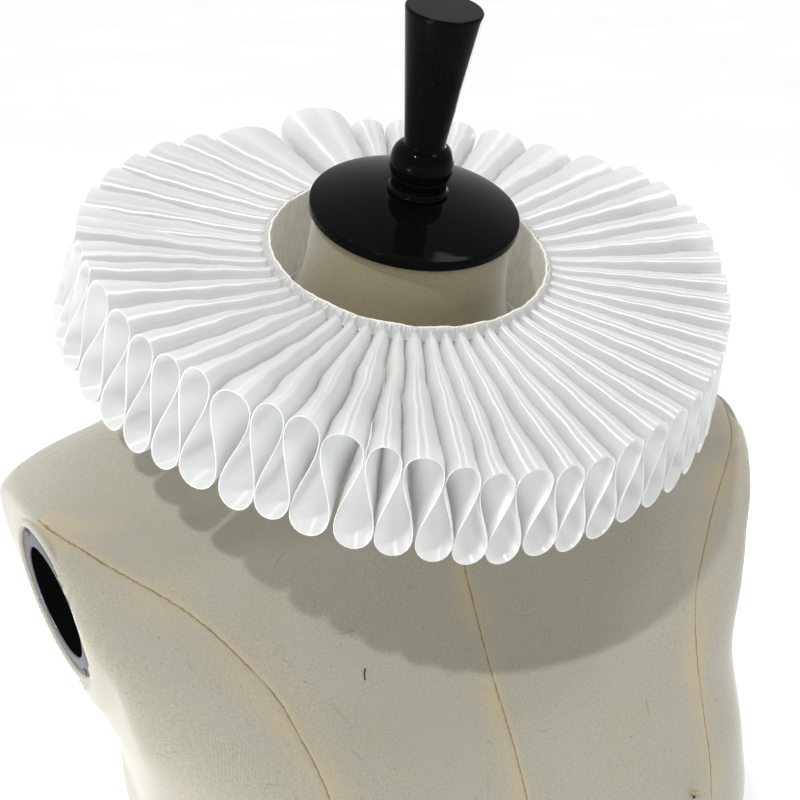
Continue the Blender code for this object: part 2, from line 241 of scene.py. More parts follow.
# Arm plates
ARM_SIDES = ((-1.0, "right"), (1.0, "left"))
ARM_CENTRE = np.array([0.1917, -0.0100, -0.1511])
ARM_TURN = math.radians(10.0)
ARM_DIP = math.radians(8.0)
ARM_BLEND = 0.004
ARM_SIDE_FROM = 0.10
ARM_LOWEST = -0.3950
ARM_HALF_WIDTH = 0.0400
ARM_HALF_HEIGHT = 0.0390
ARM_STEPS = 144

# Padded lip of the cover round each arm plate: over which distances outside the plate's oval it
# rises and falls, how deep in the form it reaches, and how it grows from back to front
LIP_RISE = (0.0004, 0.0040)
LIP_FALL = (0.0050, 0.0260)
LIP_DEPTH = 0.03
LIP_FRONT = (0.010, -0.030)
LIP_BEHIND = 0.25

# An arm ring's closed profile: widening past the plate's oval, and height over its plane
ARM_RING_PROFILE = (
    ("widening", "height"),
    (0.0000, 0.0009),
    (-0.0002, 0.0012),
    (-0.0030, 0.0012),
    (-0.0042, 0.0014),
    (-0.0050, 0.0018),
    (-0.0078, 0.0018),
    (-0.0088, 0.0021),
    (-0.0096, 0.0020),
    (-0.0100, 0.0015),
    (-0.0100, 0.0003),
    (-0.0050, 0.0003),
    (0.0000, 0.0003),
)

# Screws of the arm rings. The slot's depth is a share of the dome, its width one of the radius
SCREW_TURNS_DEG = (28.0, 118.0, 208.0, 298.0)
SCREW_INSET = 0.0026
SCREW_FOOT = 0.0013
SCREW_RADIUS = 0.0021
SCREW_DOME = 0.0012
SCREW_SIDES = 20
SCREW_ROWS = 7
SLOT_DEPTH = 0.35
SLOT_WIDTH = 0.22

# Linen rolled over round each arm ring: the middle and half sizes of its flattened section
ROLL_WIDENING = 0.0023
ROLL_HALF_WIDTH = 0.0020
ROLL_HEIGHT = 0.0010
ROLL_HALF_HEIGHT = 0.0019
ROLL_SIDES = 20

# Board under the form: its outline as a share of the cover's foot, and its height
BOARD_PROFILE = (
    ("share", "height"),
    (0.000, 0.0006),
    (0.985, 0.0006),
    (0.990, 0.0012),
    (0.990, 0.0054),
    (0.985, 0.0060),
    (0.000, 0.0060),
)

# Neck cap and handle: radius and height on the neck's axis, above NECK_POINT
CAP_PROFILE = (
    ("radius", "height"),
    (0.0000, 0.0213),
    (0.0500, 0.0213),
    (0.0515, 0.0213),
    (0.0525, 0.0222),
    (0.0525, 0.0258),
    (0.0522, 0.0266),
    (0.0508, 0.0271),
    (0.0495, 0.0276),
    (0.0440, 0.0294),
    (0.0350, 0.0318),
    (0.0250, 0.0339),
    (0.0152, 0.0353),
    (0.0000, 0.0353),
)
HANDLE_PROFILE = (
    ("radius", "height"),
    (0.0000, 0.0356),
    (0.0145, 0.0356),
    (0.0150, 0.0357),
    (0.0151, 0.0364),
    (0.0150, 0.0371),
    (0.0143, 0.0375),
    (0.0138, 0.0384),
    (0.0137, 0.0405),
    (0.0138, 0.0432),
    (0.0146, 0.0438),
    (0.0147, 0.0446),
    (0.0145, 0.0450),
    (0.0152, 0.0464),
    (0.0156, 0.0490),
    (0.0157, 0.0512),
    (0.0152, 0.0545),
    (0.0139, 0.0575),
    (0.0120, 0.0593),
    (0.0112, 0.0597),
    (0.0103, 0.0602),
    (0.0100, 0.0612),
    (0.0105, 0.0660),
    (0.0112, 0.0720),
    (0.0144, 0.0980),
    (0.0176, 0.1235),
    (0.0179, 0.1258),
    (0.0178, 0.1266),
    (0.0172, 0.1272),
    (0.0160, 0.1272),
    (0.0000, 0.1272),
)
TURNED_STEPS = 128

# The camera, measured from NECK_POINT: the photograph's own place and direction
CAMERA_PLACE = np.array([-0.25587, -0.55344, 0.16940])
CAMERA_YAW = math.radians(24.415)
CAMERA_PITCH = math.radians(22.37)
CAMERA_LENS = 55.78

# Lights. Each soft one has a place, a width and height, the setting that holds its power, and
# the share of it that it gives, and all of them face LIGHT_AIM
KEY_AZIMUTH = math.radians(-51.0)
KEY_ELEVATION = math.radians(57.0)
KEY_WIDTH = math.radians(2.2)
KEY_TINT = (1.0, 0.99, 0.97)
SOFT_LIGHTS = (
    ("side_left", (-1.10, -0.35, 0.05), (0.35, 0.60), "side_power", 1.7),
    ("side_right", (0.95, 0.70, 0.30), (0.35, 0.90), "side_power", 1.0),
    ("overhead", (0.61, -0.27, 2.05), (0.40, 0.40), "overhead_power", 1.0),
)
LIGHT_AIM = (0.0, 0.0, 0.42)
FLOOR_REACH = 30.0


class RuffSettings(bpy.types.PropertyGroup):
    """Sizes and colour of the pleated ribbon and its neckband."""

    ribbon_wall: bpy.props.FloatProperty(
        name="Ribbon Wall", description="Thickness of the satin ribbon",
        default=0.0004, min=0.0002, max=0.001, unit="LENGTH", precision=5,
    )
    loop_fullness: bpy.props.FloatProperty(
        name="Loop Fullness", description="How far each loop fills the room beside it",
        default=0.74, min=0.4, max=0.74, subtype="FACTOR",
    )
    ridge_bend: bpy.props.FloatProperty(
        name="Ridge Bend", description="How far the ridges wander sideways on their way out",
        default=0.0012, min=0.0, max=0.003, unit="LENGTH", precision=5,
    )
    # Strength of the painted glow inside the loops, an emission that stands in for light through the
    # satin
    painted_loop_glow: bpy.props.FloatProperty(
        name="Light Through", description="Light that passes through the satin into its loops",
        default=0.43, min=0.0, max=1.0, subtype="FACTOR",
    )
    # Strength of the neckband's painted glow, an emission of its own colour that stands in for light
    # through its cloth
    painted_band_glow: bpy.props.FloatProperty(
        name="Light Through Band", description="Light that passes through the neckband's cloth",
        default=0.16, min=0.0, max=1.0, subtype="FACTOR",
    )
    satin_colour: bpy.props.FloatVectorProperty(
        name="Satin", description="Colour of the satin ribbon",
        default=(0.68, 0.685, 0.67), subtype="COLOR", min=0.0, max=1.0,
    )
    band_colour: bpy.props.FloatVectorProperty(
        name="Band", description="Colour of the neckband",
        default=(0.78, 0.775, 0.72), subtype="COLOR", min=0.0, max=1.0,
    )
    edge_colour: bpy.props.FloatVectorProperty(
        name="Band Edge", description="Colour of the band's folded upper edge",
        default=(0.86, 0.84, 0.77), subtype="COLOR", min=0.0, max=1.0,
    )


class FormSettings(bpy.types.PropertyGroup):
    """Sizes and colours of the dress form's linen cover."""

    cover_wall: bpy.props.FloatProperty(
        name="Cover Wall", description="Thickness of the linen cover",
        default=0.0008, min=0.0004, max=0.002, unit="LENGTH", precision=5,
    )
    lip_height: bpy.props.FloatProperty(
        name="Armhole Lip", description="How far the padded edge stands up round each arm plate",
        default=0.0050, min=0.0, max=0.008, unit="LENGTH", precision=5,
    )
    linen_colour: bpy.props.FloatVectorProperty(
        name="Linen", description="Main colour of the linen",
        default=(0.488, 0.466, 0.382), subtype="COLOR", min=0.0, max=1.0,
    )
    linen_dark: bpy.props.FloatVectorProperty(
        name="Dark Thread", description="Colour between the threads and in the slubs",
        default=(0.30, 0.28, 0.215), subtype="COLOR", min=0.0, max=1.0,
    )
    # Painted shade: the neck inside the band is multiplied darker and browner by this colour
    neck_shade_colour: bpy.props.FloatVectorProperty(
        name="Neck Tint", description="Tint of the browner cloth on the neck",
        default=(0.74, 0.70, 0.55), subtype="COLOR", min=0.0, max=1.0,
    )
    stain_colour: bpy.props.FloatVectorProperty(
        name="Glue Stain", description="Yellowed linen beside the seams",
        default=(0.55, 0.46, 0.27), subtype="COLOR", min=0.0, max=1.0,
    )
    thread_pitch: bpy.props.FloatProperty(
        name="Thread Pitch", description="Distance from one thread of the linen to the next",
        default=0.0009, min=0.0004, max=0.002, unit="LENGTH", precision=5,
    )


class FittingSettings(bpy.types.PropertyGroup):
    """Colours of the hard fittings."""

    lacquer_colour: bpy.props.FloatVectorProperty(
        name="Lacquer", description="Colour of the cap and handle",
        default=(0.003, 0.003, 0.0035), subtype="COLOR", min=0.0, max=1.0,
    )
    steel_colour: bpy.props.FloatVectorProperty(
        name="Sheet Metal", description="Colour of the arm rings",
        default=(0.17, 0.165, 0.195), subtype="COLOR", min=0.0, max=1.0,
    )


class StageSettings(bpy.types.PropertyGroup):
    """Light and floor."""

    key_strength: bpy.props.FloatProperty(
        name="Key Light", description="Strength of the light from above", default=1.2, min=0.0,
    )
    side_power: bpy.props.FloatProperty(
        name="Side Lights", description="Power of the low lights at the sides",
        default=5.0, min=0.0, unit="POWER",
    )
    overhead_power: bpy.props.FloatProperty(
        name="Overhead Light", description="Power of the soft light high over the form",
        default=4.0, min=0.0, unit="POWER",
    )
    fill_front: bpy.props.FloatProperty(
        name="Front Fill", description="Strength of the even light from the front",
        default=0.46, min=0.0,
    )
    fill_back: bpy.props.FloatProperty(
        name="Back Fill", description="Strength of the even light from behind",
        default=0.97, min=0.0,
    )
    floor_colour: bpy.props.FloatVectorProperty(
        name="Floor", description="Colour of the floor",
        default=(0.98, 0.98, 0.98), subtype="COLOR", min=0.0, max=1.0,
    )


def columns(table):
    """The table's rows as a dictionary of arrays, one for each named column."""
    rows = np.array(table[1:], float)
    return {name: rows[:, i] for i, name in enumerate(table[0])}


def smoothstep(low, high, value):
    """0 below low, 1 above high, and the cubic 3t^2 - 2t^3 between them."""
    t = np.clip((value - low) / (high - low), 0.0, 1.0)
    return t * t * (3.0 - 2.0 * t)


def to_world(points):
    """Points given square to the neck's axis, turned by its lean and moved to NECK_POINT."""
    cosine, sine = math.cos(NECK_LEAN), math.sin(NECK_LEAN)
    turn = np.array([[1.0, 0.0, 0.0], [0.0, cosine, -sine], [0.0, sine, cosine]])
    return points @ turn.T + NECK_POINT


def surface_mesh(name, points, uv, wrap_rows=False, wrap_cols=False, cap_ends=False):
    """A mesh of quads over a grid of points.

    A wrapped direction joins its last line to its first. uv has one more line than the grid in a
    wrapped direction, so that the pattern runs on across the join. cap_ends closes the first and
    last row of a grid whose columns wrap.
    """
    rows, cols = points.shape[:2]
    i, j = np.meshgrid(
        np.arange(rows if wrap_rows else rows - 1),
        np.arange(cols if wrap_cols else cols - 1),
        indexing="ij",
    )
    corners = [(i, j), (i, j + 1), (i + 1, j + 1), (i + 1, j)]
    faces = np.stack([(a % rows) * cols + b % cols for a, b in corners], axis=-1).reshape(-1, 4)
    loops_uv = np.stack([uv[a, b] for a, b in corners], axis=-2).reshape(-1, 2)
    polygons = faces.tolist()
    if cap_ends:
        ends = [np.arange(cols)[::-1], (rows - 1) * cols + np.arange(cols)]
        polygons += [end.tolist() for end in ends]
        loops_uv = np.concatenate([loops_uv, uv[0, :cols][::-1], uv[-1, :cols]])
    mesh = bpy.data.meshes.new(name)
    mesh.from_pydata(points.reshape(-1, 3).tolist(), [], polygons)
    layer = mesh.uv_layers.new(name="UVMap")
    layer.data.foreach_set("uv", loops_uv.astype(np.float32).ravel())
    mesh.update()
    mesh.shade_smooth()
    return mesh


def close_poles(mesh):
    """Merges the points that fall together where a turned profile meets its axis."""
    work = bmesh.new()
    work.from_mesh(mesh)
    bmesh.ops.remove_doubles(work, verts=work.verts, dist=MERGE_DISTANCE)
    bmesh.ops.recalc_face_normals(work, faces=work.faces)
    work.to_mesh(mesh)
    work.free()


def store_field(mesh, name, values):
    """Keeps one number for each point of the mesh as a named attribute."""
    field = mesh.attributes.new(name, "FLOAT", "POINT")
    field.data.foreach_set("value", values.astype(np.float32).ravel())


def add_piece(name, mesh, finish, replaced=()):
    """Links the mesh as a piece that rides on the body, with its material, and hides the parts it
    replaces.
    """
    made = bpy.data.objects.new(name, mesh)
    bpy.context.scene.collection.objects.link(made)
    made.data.materials.append(finish)
    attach(made, BODY)
    if replaced:
        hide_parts(*replaced)
    return made


def give_wall(piece, thickness, offset):
    """Turns a single surface into a closed wall of cloth."""
    wall = piece.modifiers.new("wall", "SOLIDIFY")
    wall.thickness = thickness
    wall.offset = offset
    wall.use_rim = True


def length_along(points, axis):
    """Distance travelled along one direction of a grid, from its first line."""
    steps = np.linalg.norm(np.diff(points, axis=axis), axis=-1)
    start = np.zeros_like(np.take(steps, [0], axis=axis))
    return np.concatenate([start, np.cumsum(steps, axis=axis)], axis=axis)


def metre_uv(points, wrap_rows=False, wrap_cols=False):
    """UV in metres along both directions of a grid, run on across the join where it wraps."""
    if wrap_rows:
        points = np.concatenate([points, points[:1]], axis=0)
    if wrap_cols:
        points = np.concatenate([points, points[:, :1]], axis=1)
    return np.stack([length_along(points, 0), length_along(points, 1)], axis=-1)


def wander(phase, waves):
    """A share from -1 to 1 that drifts unevenly: the sine of a sine-swerved phase."""
    speed, swerve, swerve_speed = waves
    return np.sin(speed * phase + swerve * np.sin(swerve_speed * phase))


def pleat_count():
    """How many pleats the ribbon has in all."""
    return int(columns(PLEAT_STRETCHES)["pleats"].sum())


def pleat_azimuth(phase):
    """Azimuth at each phase: the stretches' marks joined by straight lines, plus a drift."""
    stretch = columns(PLEAT_STRETCHES)
    marks = np.concatenate([[0.0], np.cumsum(stretch["pleats"])])
    angles = np.concatenate([stretch["start_deg"][:1], stretch["end_deg"]])
    even = np.radians(np.interp(phase, marks, angles))
    before = np.minimum(phase, 0.0) * math.radians(angles[1] - angles[0])
    after = np.maximum(phase - marks[-1], 0.0) * math.radians(angles[-1] - angles[-2])
    return even + before + after + PLACE_DRIFT * wander(phase, PLACE_WANDER)


def ruff_slope(azimuth):
    """The ruff's rise from the neckband, blended between the table's rows by half a cosine."""
    table = columns(RUFF_SLOPES)
    degrees = (np.degrees(azimuth) + 180.0) % 360.0 - 180.0
    last = len(table["azimuth_deg"]) - 2
    row = np.clip(np.searchsorted(table["azimuth_deg"], degrees, side="right") - 1, 0, last)
    low = table["azimuth_deg"][row]
    share = (degrees - low) / (table["azimuth_deg"][row + 1] - low)
    blend = 0.5 - 0.5 * np.cos(math.pi * share)
    slope = table["slope_deg"][row] * (1.0 - blend) + table["slope_deg"][row + 1] * blend
    return np.radians(slope)


def ridge_wave(azimuth, out, shift=0.0):
    """The sum of the table's sines, each turning along the ridge and from pleat to pleat.

    It is read at the ribbon's own azimuth, so two loops that touch bend together.
    """
    pleat = azimuth * pleat_count() / (2.0 * math.pi)
    total = np.zeros(np.broadcast(azimuth, out).shape)
    for share, along, aside, start in zip(*columns(RIDGE_WAVES).values()):
        total += share * np.sin(along * out + aside * pleat + start + shift)
    return total


def ribbon_points(phase, out, settings):
    """The ribbon's middle surface, square to the neck's axis.

    Height follows the cosine of the turn, one turn to a pleat, from the upper loop to the lower.
    Azimuth swings by the sine of twice the turn, which makes each loop wide at its end and narrow
    at its root. out runs from 0 at the band to 1 at the rim. On top of this, the ridges bend
    sideways and up and down by the ridge waves, which grow from nothing at the band, and the
    upper loops rise a little where they are sewn to it.
    """
    turn = 2.0 * math.pi * (phase - 0.5)
    upper = 0.5 + 0.5 * np.cos(turn)
    reach = BOTTOM_REACH + (TOP_REACH - BOTTOM_REACH) * upper
    radius = RUFFLE_INNER_RADIUS + reach * out
    middle = pleat_azimuth(phase)
    room = np.minimum(pleat_azimuth(phase + 0.5) - middle, middle - pleat_azimuth(phase - 0.5))
    swing = settings.loop_fullness * (room * radius - LOOP_CLEARANCE) * np.sin(2.0 * turn)
    grown = smoothstep(0.0, WAVES_GROWN, out)
    azimuth = middle + swing / radius
    rise = 0.5 * settings.ridge_bend * grown * ridge_wave(azimuth, out, 2.0)
    azimuth = azimuth + settings.ridge_bend * grown * ridge_wave(azimuth, out) / radius
    last = np.clip(phase - pleat_count() + 1.0, 0.0, 1.0)
    depth = NECK_DEPTH + (RIM_DEPTH - NECK_DEPTH) * out
    uneven = HEIGHT_DRIFT * wander(phase, HEIGHT_WANDER) * out
    lift = END_PLEAT_LIFT * np.sin(math.pi * last) ** 2 * out * upper
    sewn = ROOT_RISE * upper * np.exp(-out / ROOT_REACH)
    down = -depth * (1.0 - upper)
    slope = ruff_slope(middle)
    along = RUFFLE_INNER_RADIUS + reach * out * np.cos(slope) - down * np.sin(slope) * out
    height = down * np.cos(slope * out) + uneven + rise + lift + sewn
    height = height + reach * out * np.sin(slope)
    return np.stack([along * np.sin(azimuth), -along * np.cos(azimuth), height], axis=-1)


def band_points(azimuth, profile_radius, profile_height):
    """The band's closed profile carried round the neck, with its upper edge a little uneven."""
    turns, radius = np.meshgrid(azimuth, profile_radius, indexing="ij")
    height = np.broadcast_to(profile_height, radius.shape)
    share = smoothstep(BAND_WAVE_FOOT, BAND_TOP, height)
    ripple = np.sin(41.0 * turns + 1.3 * np.sin(5.0 * turns)) + 0.6 * np.sin(97.0 * turns)
    radius = radius + BAND_RIPPLE * ripple * share
    height = height + BAND_TOP_WAVE * share * np.sin(17.0 * turns + 2.0 * np.sin(3.0 * turns))
    return np.stack([radius * np.sin(turns), -radius * np.cos(turns), height], axis=-1)


def band_profile():
    """A long thin loop: down the inside, round the lower edge, up the outside, round the top."""
    middle = BAND_INNER_RADIUS + 0.5 * BAND_WALL
    half = 0.5 * BAND_WALL
    arc = np.linspace(0.0, math.pi, BAND_ARC_POINTS)
    walls = np.linspace(0.0, 1.0, BAND_WALL_POINTS + 2)[1:-1]
    top, bottom = BAND_TOP - half, BAND_BOTTOM + half
    radius = [
        middle - half + 0.0 * walls, middle - half * np.cos(arc),
        middle + half + 0.0 * walls, middle + half * np.cos(arc),
    ]
    height = [
        top + (bottom - top) * walls, bottom - half * np.sin(arc),
        bottom + (top - bottom) * walls, top + half * np.sin(arc),
    ]
    return np.concatenate(radius), np.concatenate(height)


def smooth_rows(values, place):
    """Values between the table's rows on the cubic Hermite curve through them."""
    count = len(values)
    slope = np.gradient(values)
    row = np.minimum(place.astype(int), count - 2)
    t = place - row
    start = values[row] * (1.0 + 2.0 * t) * (1.0 - t) ** 2 + slope[row] * t * (1.0 - t) ** 2
    end = values[row + 1] * t * t * (3.0 - 2.0 * t) + slope[row + 1] * t * t * (t - 1.0)
    return start + end


def arm_axes(side):
    """An arm plate's centre, measured from NECK_POINT, its facing, and the axes of its plane."""
    outward = side * math.cos(ARM_TURN) * math.cos(ARM_DIP)
    facing = np.array([outward, -math.sin(ARM_TURN) * math.cos(ARM_DIP), -math.sin(ARM_DIP)])
    across = np.cross([0.0, 0.0, 1.0], facing)
    across /= np.linalg.norm(across)
    return ARM_CENTRE * np.array([side, 1.0, 1.0]), facing, across, np.cross(facing, across)


def shape_arms(points, lip_height):
    """Presses each side softly back to its plate's plane, and raises a padded lip round it.

    Pressing keeps half of (depth - root of depth squared plus blend squared). The lip rises
    steeply just outside the ring's oval and falls away over the next two centimetres. It is
    full in front of the plate and low behind it.
    """
    shaped = points
    for side in (-1.0, 1.0):
        centre, facing, across, upward = arm_axes(side)
        offset = shaped - centre
        beyond = offset @ facing
        kept = 0.5 * (beyond - np.sqrt(beyond ** 2 + ARM_BLEND ** 2))
        oval = np.hypot((offset @ across) / ARM_HALF_WIDTH, (offset @ upward) / ARM_HALF_HEIGHT)
        outside = (oval - 1.0) * ARM_HALF_WIDTH
        near = np.exp(-(np.minimum(beyond, 0.0) / LIP_DEPTH) ** 2)
        lip = smoothstep(*LIP_RISE, outside) * (1.0 - smoothstep(*LIP_FALL, outside))
        full = LIP_BEHIND + (1.0 - LIP_BEHIND) * smoothstep(*LIP_FRONT, offset[..., 1])
        move = kept - beyond + lip_height * lip * near * full
        there = (points[..., 0] * side > ARM_SIDE_FROM) & (points[..., 2] > ARM_LOWEST)
        move = np.where(there, move, 0.0)
        shaped = shaped + move[..., None] * facing
    return shaped


def form_points(place, angle, lip_height):
    """The form's skin: sections in leaning planes, each a rounded oval in polar form.

    The radius at angle a is (|sin a / half|^n + |cos a / depth|^n)^(-1/n), with its own depth
    and n before and behind. Angle 0 is the front.
    """
    rows = columns(FORM_SECTIONS)
    table = {name: smooth_rows(values, place)[:, None] for name, values in rows.items()}
    sine, cosine = np.sin(angle)[None, :], np.cos(angle)[None, :]
    ahead = cosine > 0.0
    power = np.where(ahead, table["front_square"], table["back_square"])
    depth = np.where(ahead, table["front"], table["back"])
    rounded = np.abs(sine / table["half"]) ** power + np.abs(cosine / depth) ** power
    radius = rounded ** (-1.0 / power)
    lean = np.radians(table["lean_deg"])
    forward = radius * cosine
    y = table["y"] - forward * np.cos(lean)
    z = table["z"] - forward * np.sin(lean)
    return shape_arms(np.stack([radius * sine, y, z], axis=-1), lip_height)


def seam_fields(points, angle):
    """How far each point lies from each seam, with a sign that changes across the seam.

    The princess seams' distance is the sideways one, divided by the root of one plus the
    seam's slope squared. Their lines are the table's, averaged over a short height, and they
    stop short of each other at the shoulder's end.
    """
    x, y, z = points[..., 0], points[..., 1], points[..., 2]
    seams = columns(PRINCESS_SEAMS)
    ahead = np.broadcast_to(np.cos(angle) > 0.0, x.shape)
    reach = np.zeros(x.shape)
    slope = np.zeros(x.shape)
    shifts = np.linspace(-SEAM_SOFTENING, SEAM_SOFTENING, 5)
    for name, chosen in (
        ("front_right", ahead & (x < 0.0)), ("front_left", ahead & (x >= 0.0)), ("back", ~ahead),
    ):
        near = [np.interp(z + shift, seams["z"], seams[name]) for shift in shifts]
        reach = np.where(chosen, np.mean(near, axis=0), reach)
        slope = np.where(chosen, (near[-1] - near[0]) / (2.0 * SEAM_SOFTENING), slope)
    aside = np.abs(x)
    princess = (aside - reach) / np.sqrt(1.0 + slope ** 2)
    on_shoulder = z >= SHOULDER_FOOT
    past_end = (aside > SHOULDER_END) & (y > FRONT_SEAM_END) & (y < BACK_SEAM_END) & on_shoulder
    low = smoothstep(*SIDE_SEAM_FADE, z)
    high = smoothstep(*SHOULDER_SEAM_FADE, z) * smoothstep(*SHOULDER_SEAM_OUTER, aside)
    return {
        "seam_princess": np.where(past_end, np.copysign(NO_SEAM, princess), princess),
        "seam_centre": np.where(z < NECK_FOOT, x, NO_SEAM),
        "seam_side": y - np.where(on_shoulder, SHOULDER_SEAM_BACK, SIDE_SEAM_BACK),
        "seam_side_on": np.maximum(low, high) * smoothstep(*SEAM_NECK_CLEAR, aside),
    }


def turned_points(table, rounding=2):
    """A profile turned about the neck's axis, with its corners cut twice.

    Each cut replaces a corner by points a quarter and three quarters along its edges.
    """
    line = np.stack([table["radius"], table["height"]], axis=-1)
    for _ in range(rounding):
        near = 0.75 * line[:-1] + 0.25 * line[1:]
        far = 0.25 * line[:-1] + 0.75 * line[1:]
        inner = np.stack([near, far], axis=1).reshape(-1, 2)
        line = np.concatenate([line[:1], inner, line[-1:]])
    angle = np.linspace(0.0, 2.0 * math.pi, TURNED_STEPS, endpoint=False)
    turn, radius = np.meshgrid(angle, line[:, 0], indexing="ij")
    height = np.broadcast_to(line[:, 1], radius.shape)
    return np.stack([radius * np.cos(turn), radius * np.sin(turn), height], axis=-1)


def oval_points(side, widening, height):
    """A closed profile of widening and height, carried round an arm plate's oval."""
    centre, facing, across, upward = arm_axes(side)
    angle = np.linspace(0.0, 2.0 * math.pi, ARM_STEPS, endpoint=False)[:, None, None]
    wide = (ARM_HALF_WIDTH + widening)[None, :, None]
    tall = (ARM_HALF_HEIGHT + widening)[None, :, None]
    oval = wide * np.cos(angle) * across + tall * np.sin(angle) * upward
    return NECK_POINT + centre + oval + height[None, :, None] * facing


def oval_mesh(name, side, widening, height):
    """The closed mesh of a profile carried round an arm plate's oval, its faces outwards."""
    points = oval_points(side, widening, height)
    uv = metre_uv(points, wrap_rows=True, wrap_cols=True)
    mesh = surface_mesh(name, points, uv, wrap_rows=True, wrap_cols=True)
    close_poles(mesh)
    return mesh


def heading_points(azimuth, across):
    """The gathered edge of the ribbon where it is sewn over the band, square to the neck's axis.

    It falls from just under the band's upper edge at across 0 to between the loops' roots at
    across 1. Its ridges follow the cosine of the pleats' turn, read back from the azimuth, and
    grow with across, and finer gathers, a sum of two quick sines, fade with it.
    """
    marks = np.linspace(0.0, pleat_count(), pleat_count() * 8 + 1)
    turn = 2.0 * math.pi * (np.interp(azimuth, pleat_azimuth(marks), marks) - 0.5)
    upper = 0.5 + 0.5 * np.cos(turn)
    fine = np.sin(3.0 * turn + 1.5 * np.sin(9.0 * azimuth)) + 0.7 * np.sin(5.0 * turn + 2.0)
    radius = HEADING_START + (HEADING_END - HEADING_START) * across
    crest = HEADING_TOP + (HEADING_FOOT - HEADING_TOP) * smoothstep(0.0, 1.0, across)
    height = crest - HEADING_DEPTH * across * (1.0 - upper ** 2)
    height = height + HEADING_GATHER * fine * (1.0 - 0.6 * across)
    return np.stack([radius * np.sin(azimuth), -radius * np.cos(azimuth), height], axis=-1)


def thread_points(start, run, length, radius):
    """A thin tube along a thread that bows: its straight run plus a parabola to one side."""
    along = np.linspace(0.0, 1.0, THREAD_STEPS + 1)[:, None]
    run = run / np.linalg.norm(run)
    aside = np.cross(run, [0.3, 0.2, 1.0])
    aside /= np.linalg.norm(aside)
    third = np.cross(run, aside)
    middle = start + length * (along * run + THREAD_BOW * 4.0 * along * (1.0 - along) * aside)
    turn = np.linspace(0.0, 2.0 * math.pi, THREAD_SIDES, endpoint=False)[None, :, None]
    return middle[:, None, :] + radius * (np.cos(turn) * aside + np.sin(turn) * third)


class Nodes:
    """Adds and joins shader nodes in one tree."""

    def __init__(self, tree):
        self.tree = tree

    def add(self, kind, values=None, **settings):
        """A new node with its own settings, and with values or links in its sockets."""
        node = self.tree.nodes.new(kind)
        for name, value in settings.items():
            setattr(node, name, value)
        self.fill(node.inputs, values or {})
        return node

    def fill(self, sockets, values):
        for name, value in values.items():
            self.put(sockets[name], value)

    def put(self, socket, value):
        """Links a socket's output, or sets a number, a vector or a colour of three numbers."""
        if isinstance(value, bpy.types.NodeSocket):
            self.tree.links.new(value, socket)
        elif socket.type == "RGBA":
            socket.default_value = (*value, 1.0)
        else:
            socket.default_value = value

    def uv(self):
        return self.add("ShaderNodeUVMap", uv_map="UVMap").outputs["UV"]

    def place(self):
        return self.add("ShaderNodeTexCoord").outputs["Object"]

    def field(self, name):
        return self.add("ShaderNodeAttribute", attribute_name=name).outputs["Fac"]

    def tangent(self):
        node = self.add("ShaderNodeTangent", direction_type="UV_MAP", uv_map="UVMap")
        return node.outputs["Tangent"]

    def maths(self, operation, a, b=0.0, c=0.0):
        node = self.add("ShaderNodeMath", {0: a, 1: b, 2: c}, operation=operation)
        return node.outputs[0]

    def times(self, a, b):
        return self.maths("MULTIPLY", a, b)

    def plus(self, a, b):
        return self.maths("ADD", a, b)

    def ramp(self, value, low, high, start=0.0, end=1.0):
        """Goes softly from start to end as value goes from low to high."""
        inputs = {"Value": value, "From Min": low, "From Max": high, "To Min": start, "To Max": end}
        node = self.add("ShaderNodeMapRange", inputs, interpolation_type="SMOOTHSTEP")
        return node.outputs["Result"]

    def blend(self, share, a, b, mode="MIX"):
        node = self.add("ShaderNodeMix", data_type="RGBA", blend_type=mode)
        self.fill(node.inputs, {0: share, 6: a, 7: b})
        return node.outputs[2]

    def noise(self, vector, scale, detail=2.0, rough=0.5):
        inputs = {"Vector": vector, "Scale": scale, "Detail": detail, "Roughness": rough}
        return self.add("ShaderNodeTexNoise", inputs).outputs["Fac"]

    def streaks(self, vector, stretch, scale, detail):
        """Noise drawn out along the directions whose stretch is small."""
        inputs = {"Vector": vector, "Scale": stretch}
        node = self.add("ShaderNodeMapping", inputs, vector_type="POINT")
        return self.noise(node.outputs["Vector"], scale, detail)

    def bump(self, height, distance, strength=1.0, normal=None):
        inputs = {"Height": height, "Distance": distance, "Strength": strength}
        if normal is not None:
            inputs["Normal"] = normal
        return self.add("ShaderNodeBump", inputs).outputs["Normal"]


def new_group(name, inputs, outputs):
    """A shader node group with named sockets, and the helper that fills it.

    An input is a number with the default given, or a vector where that is None. Each output is a
    number.
    """
    tree = bpy.data.node_groups.new(name, "ShaderNodeTree")
    for label, default in inputs.items():
        kind = "NodeSocketVector" if default is None else "NodeSocketFloat"
        socket = tree.interface.new_socket(name=label, in_out="INPUT", socket_type=kind)
        if default is not None:
            socket.default_value = default
    for label in outputs:
        tree.interface.new_socket(name=label, in_out="OUTPUT", socket_type="NodeSocketFloat")
    nodes = Nodes(tree)
    return tree, nodes, nodes.add("NodeGroupInput").outputs, nodes.add("NodeGroupOutput").inputs


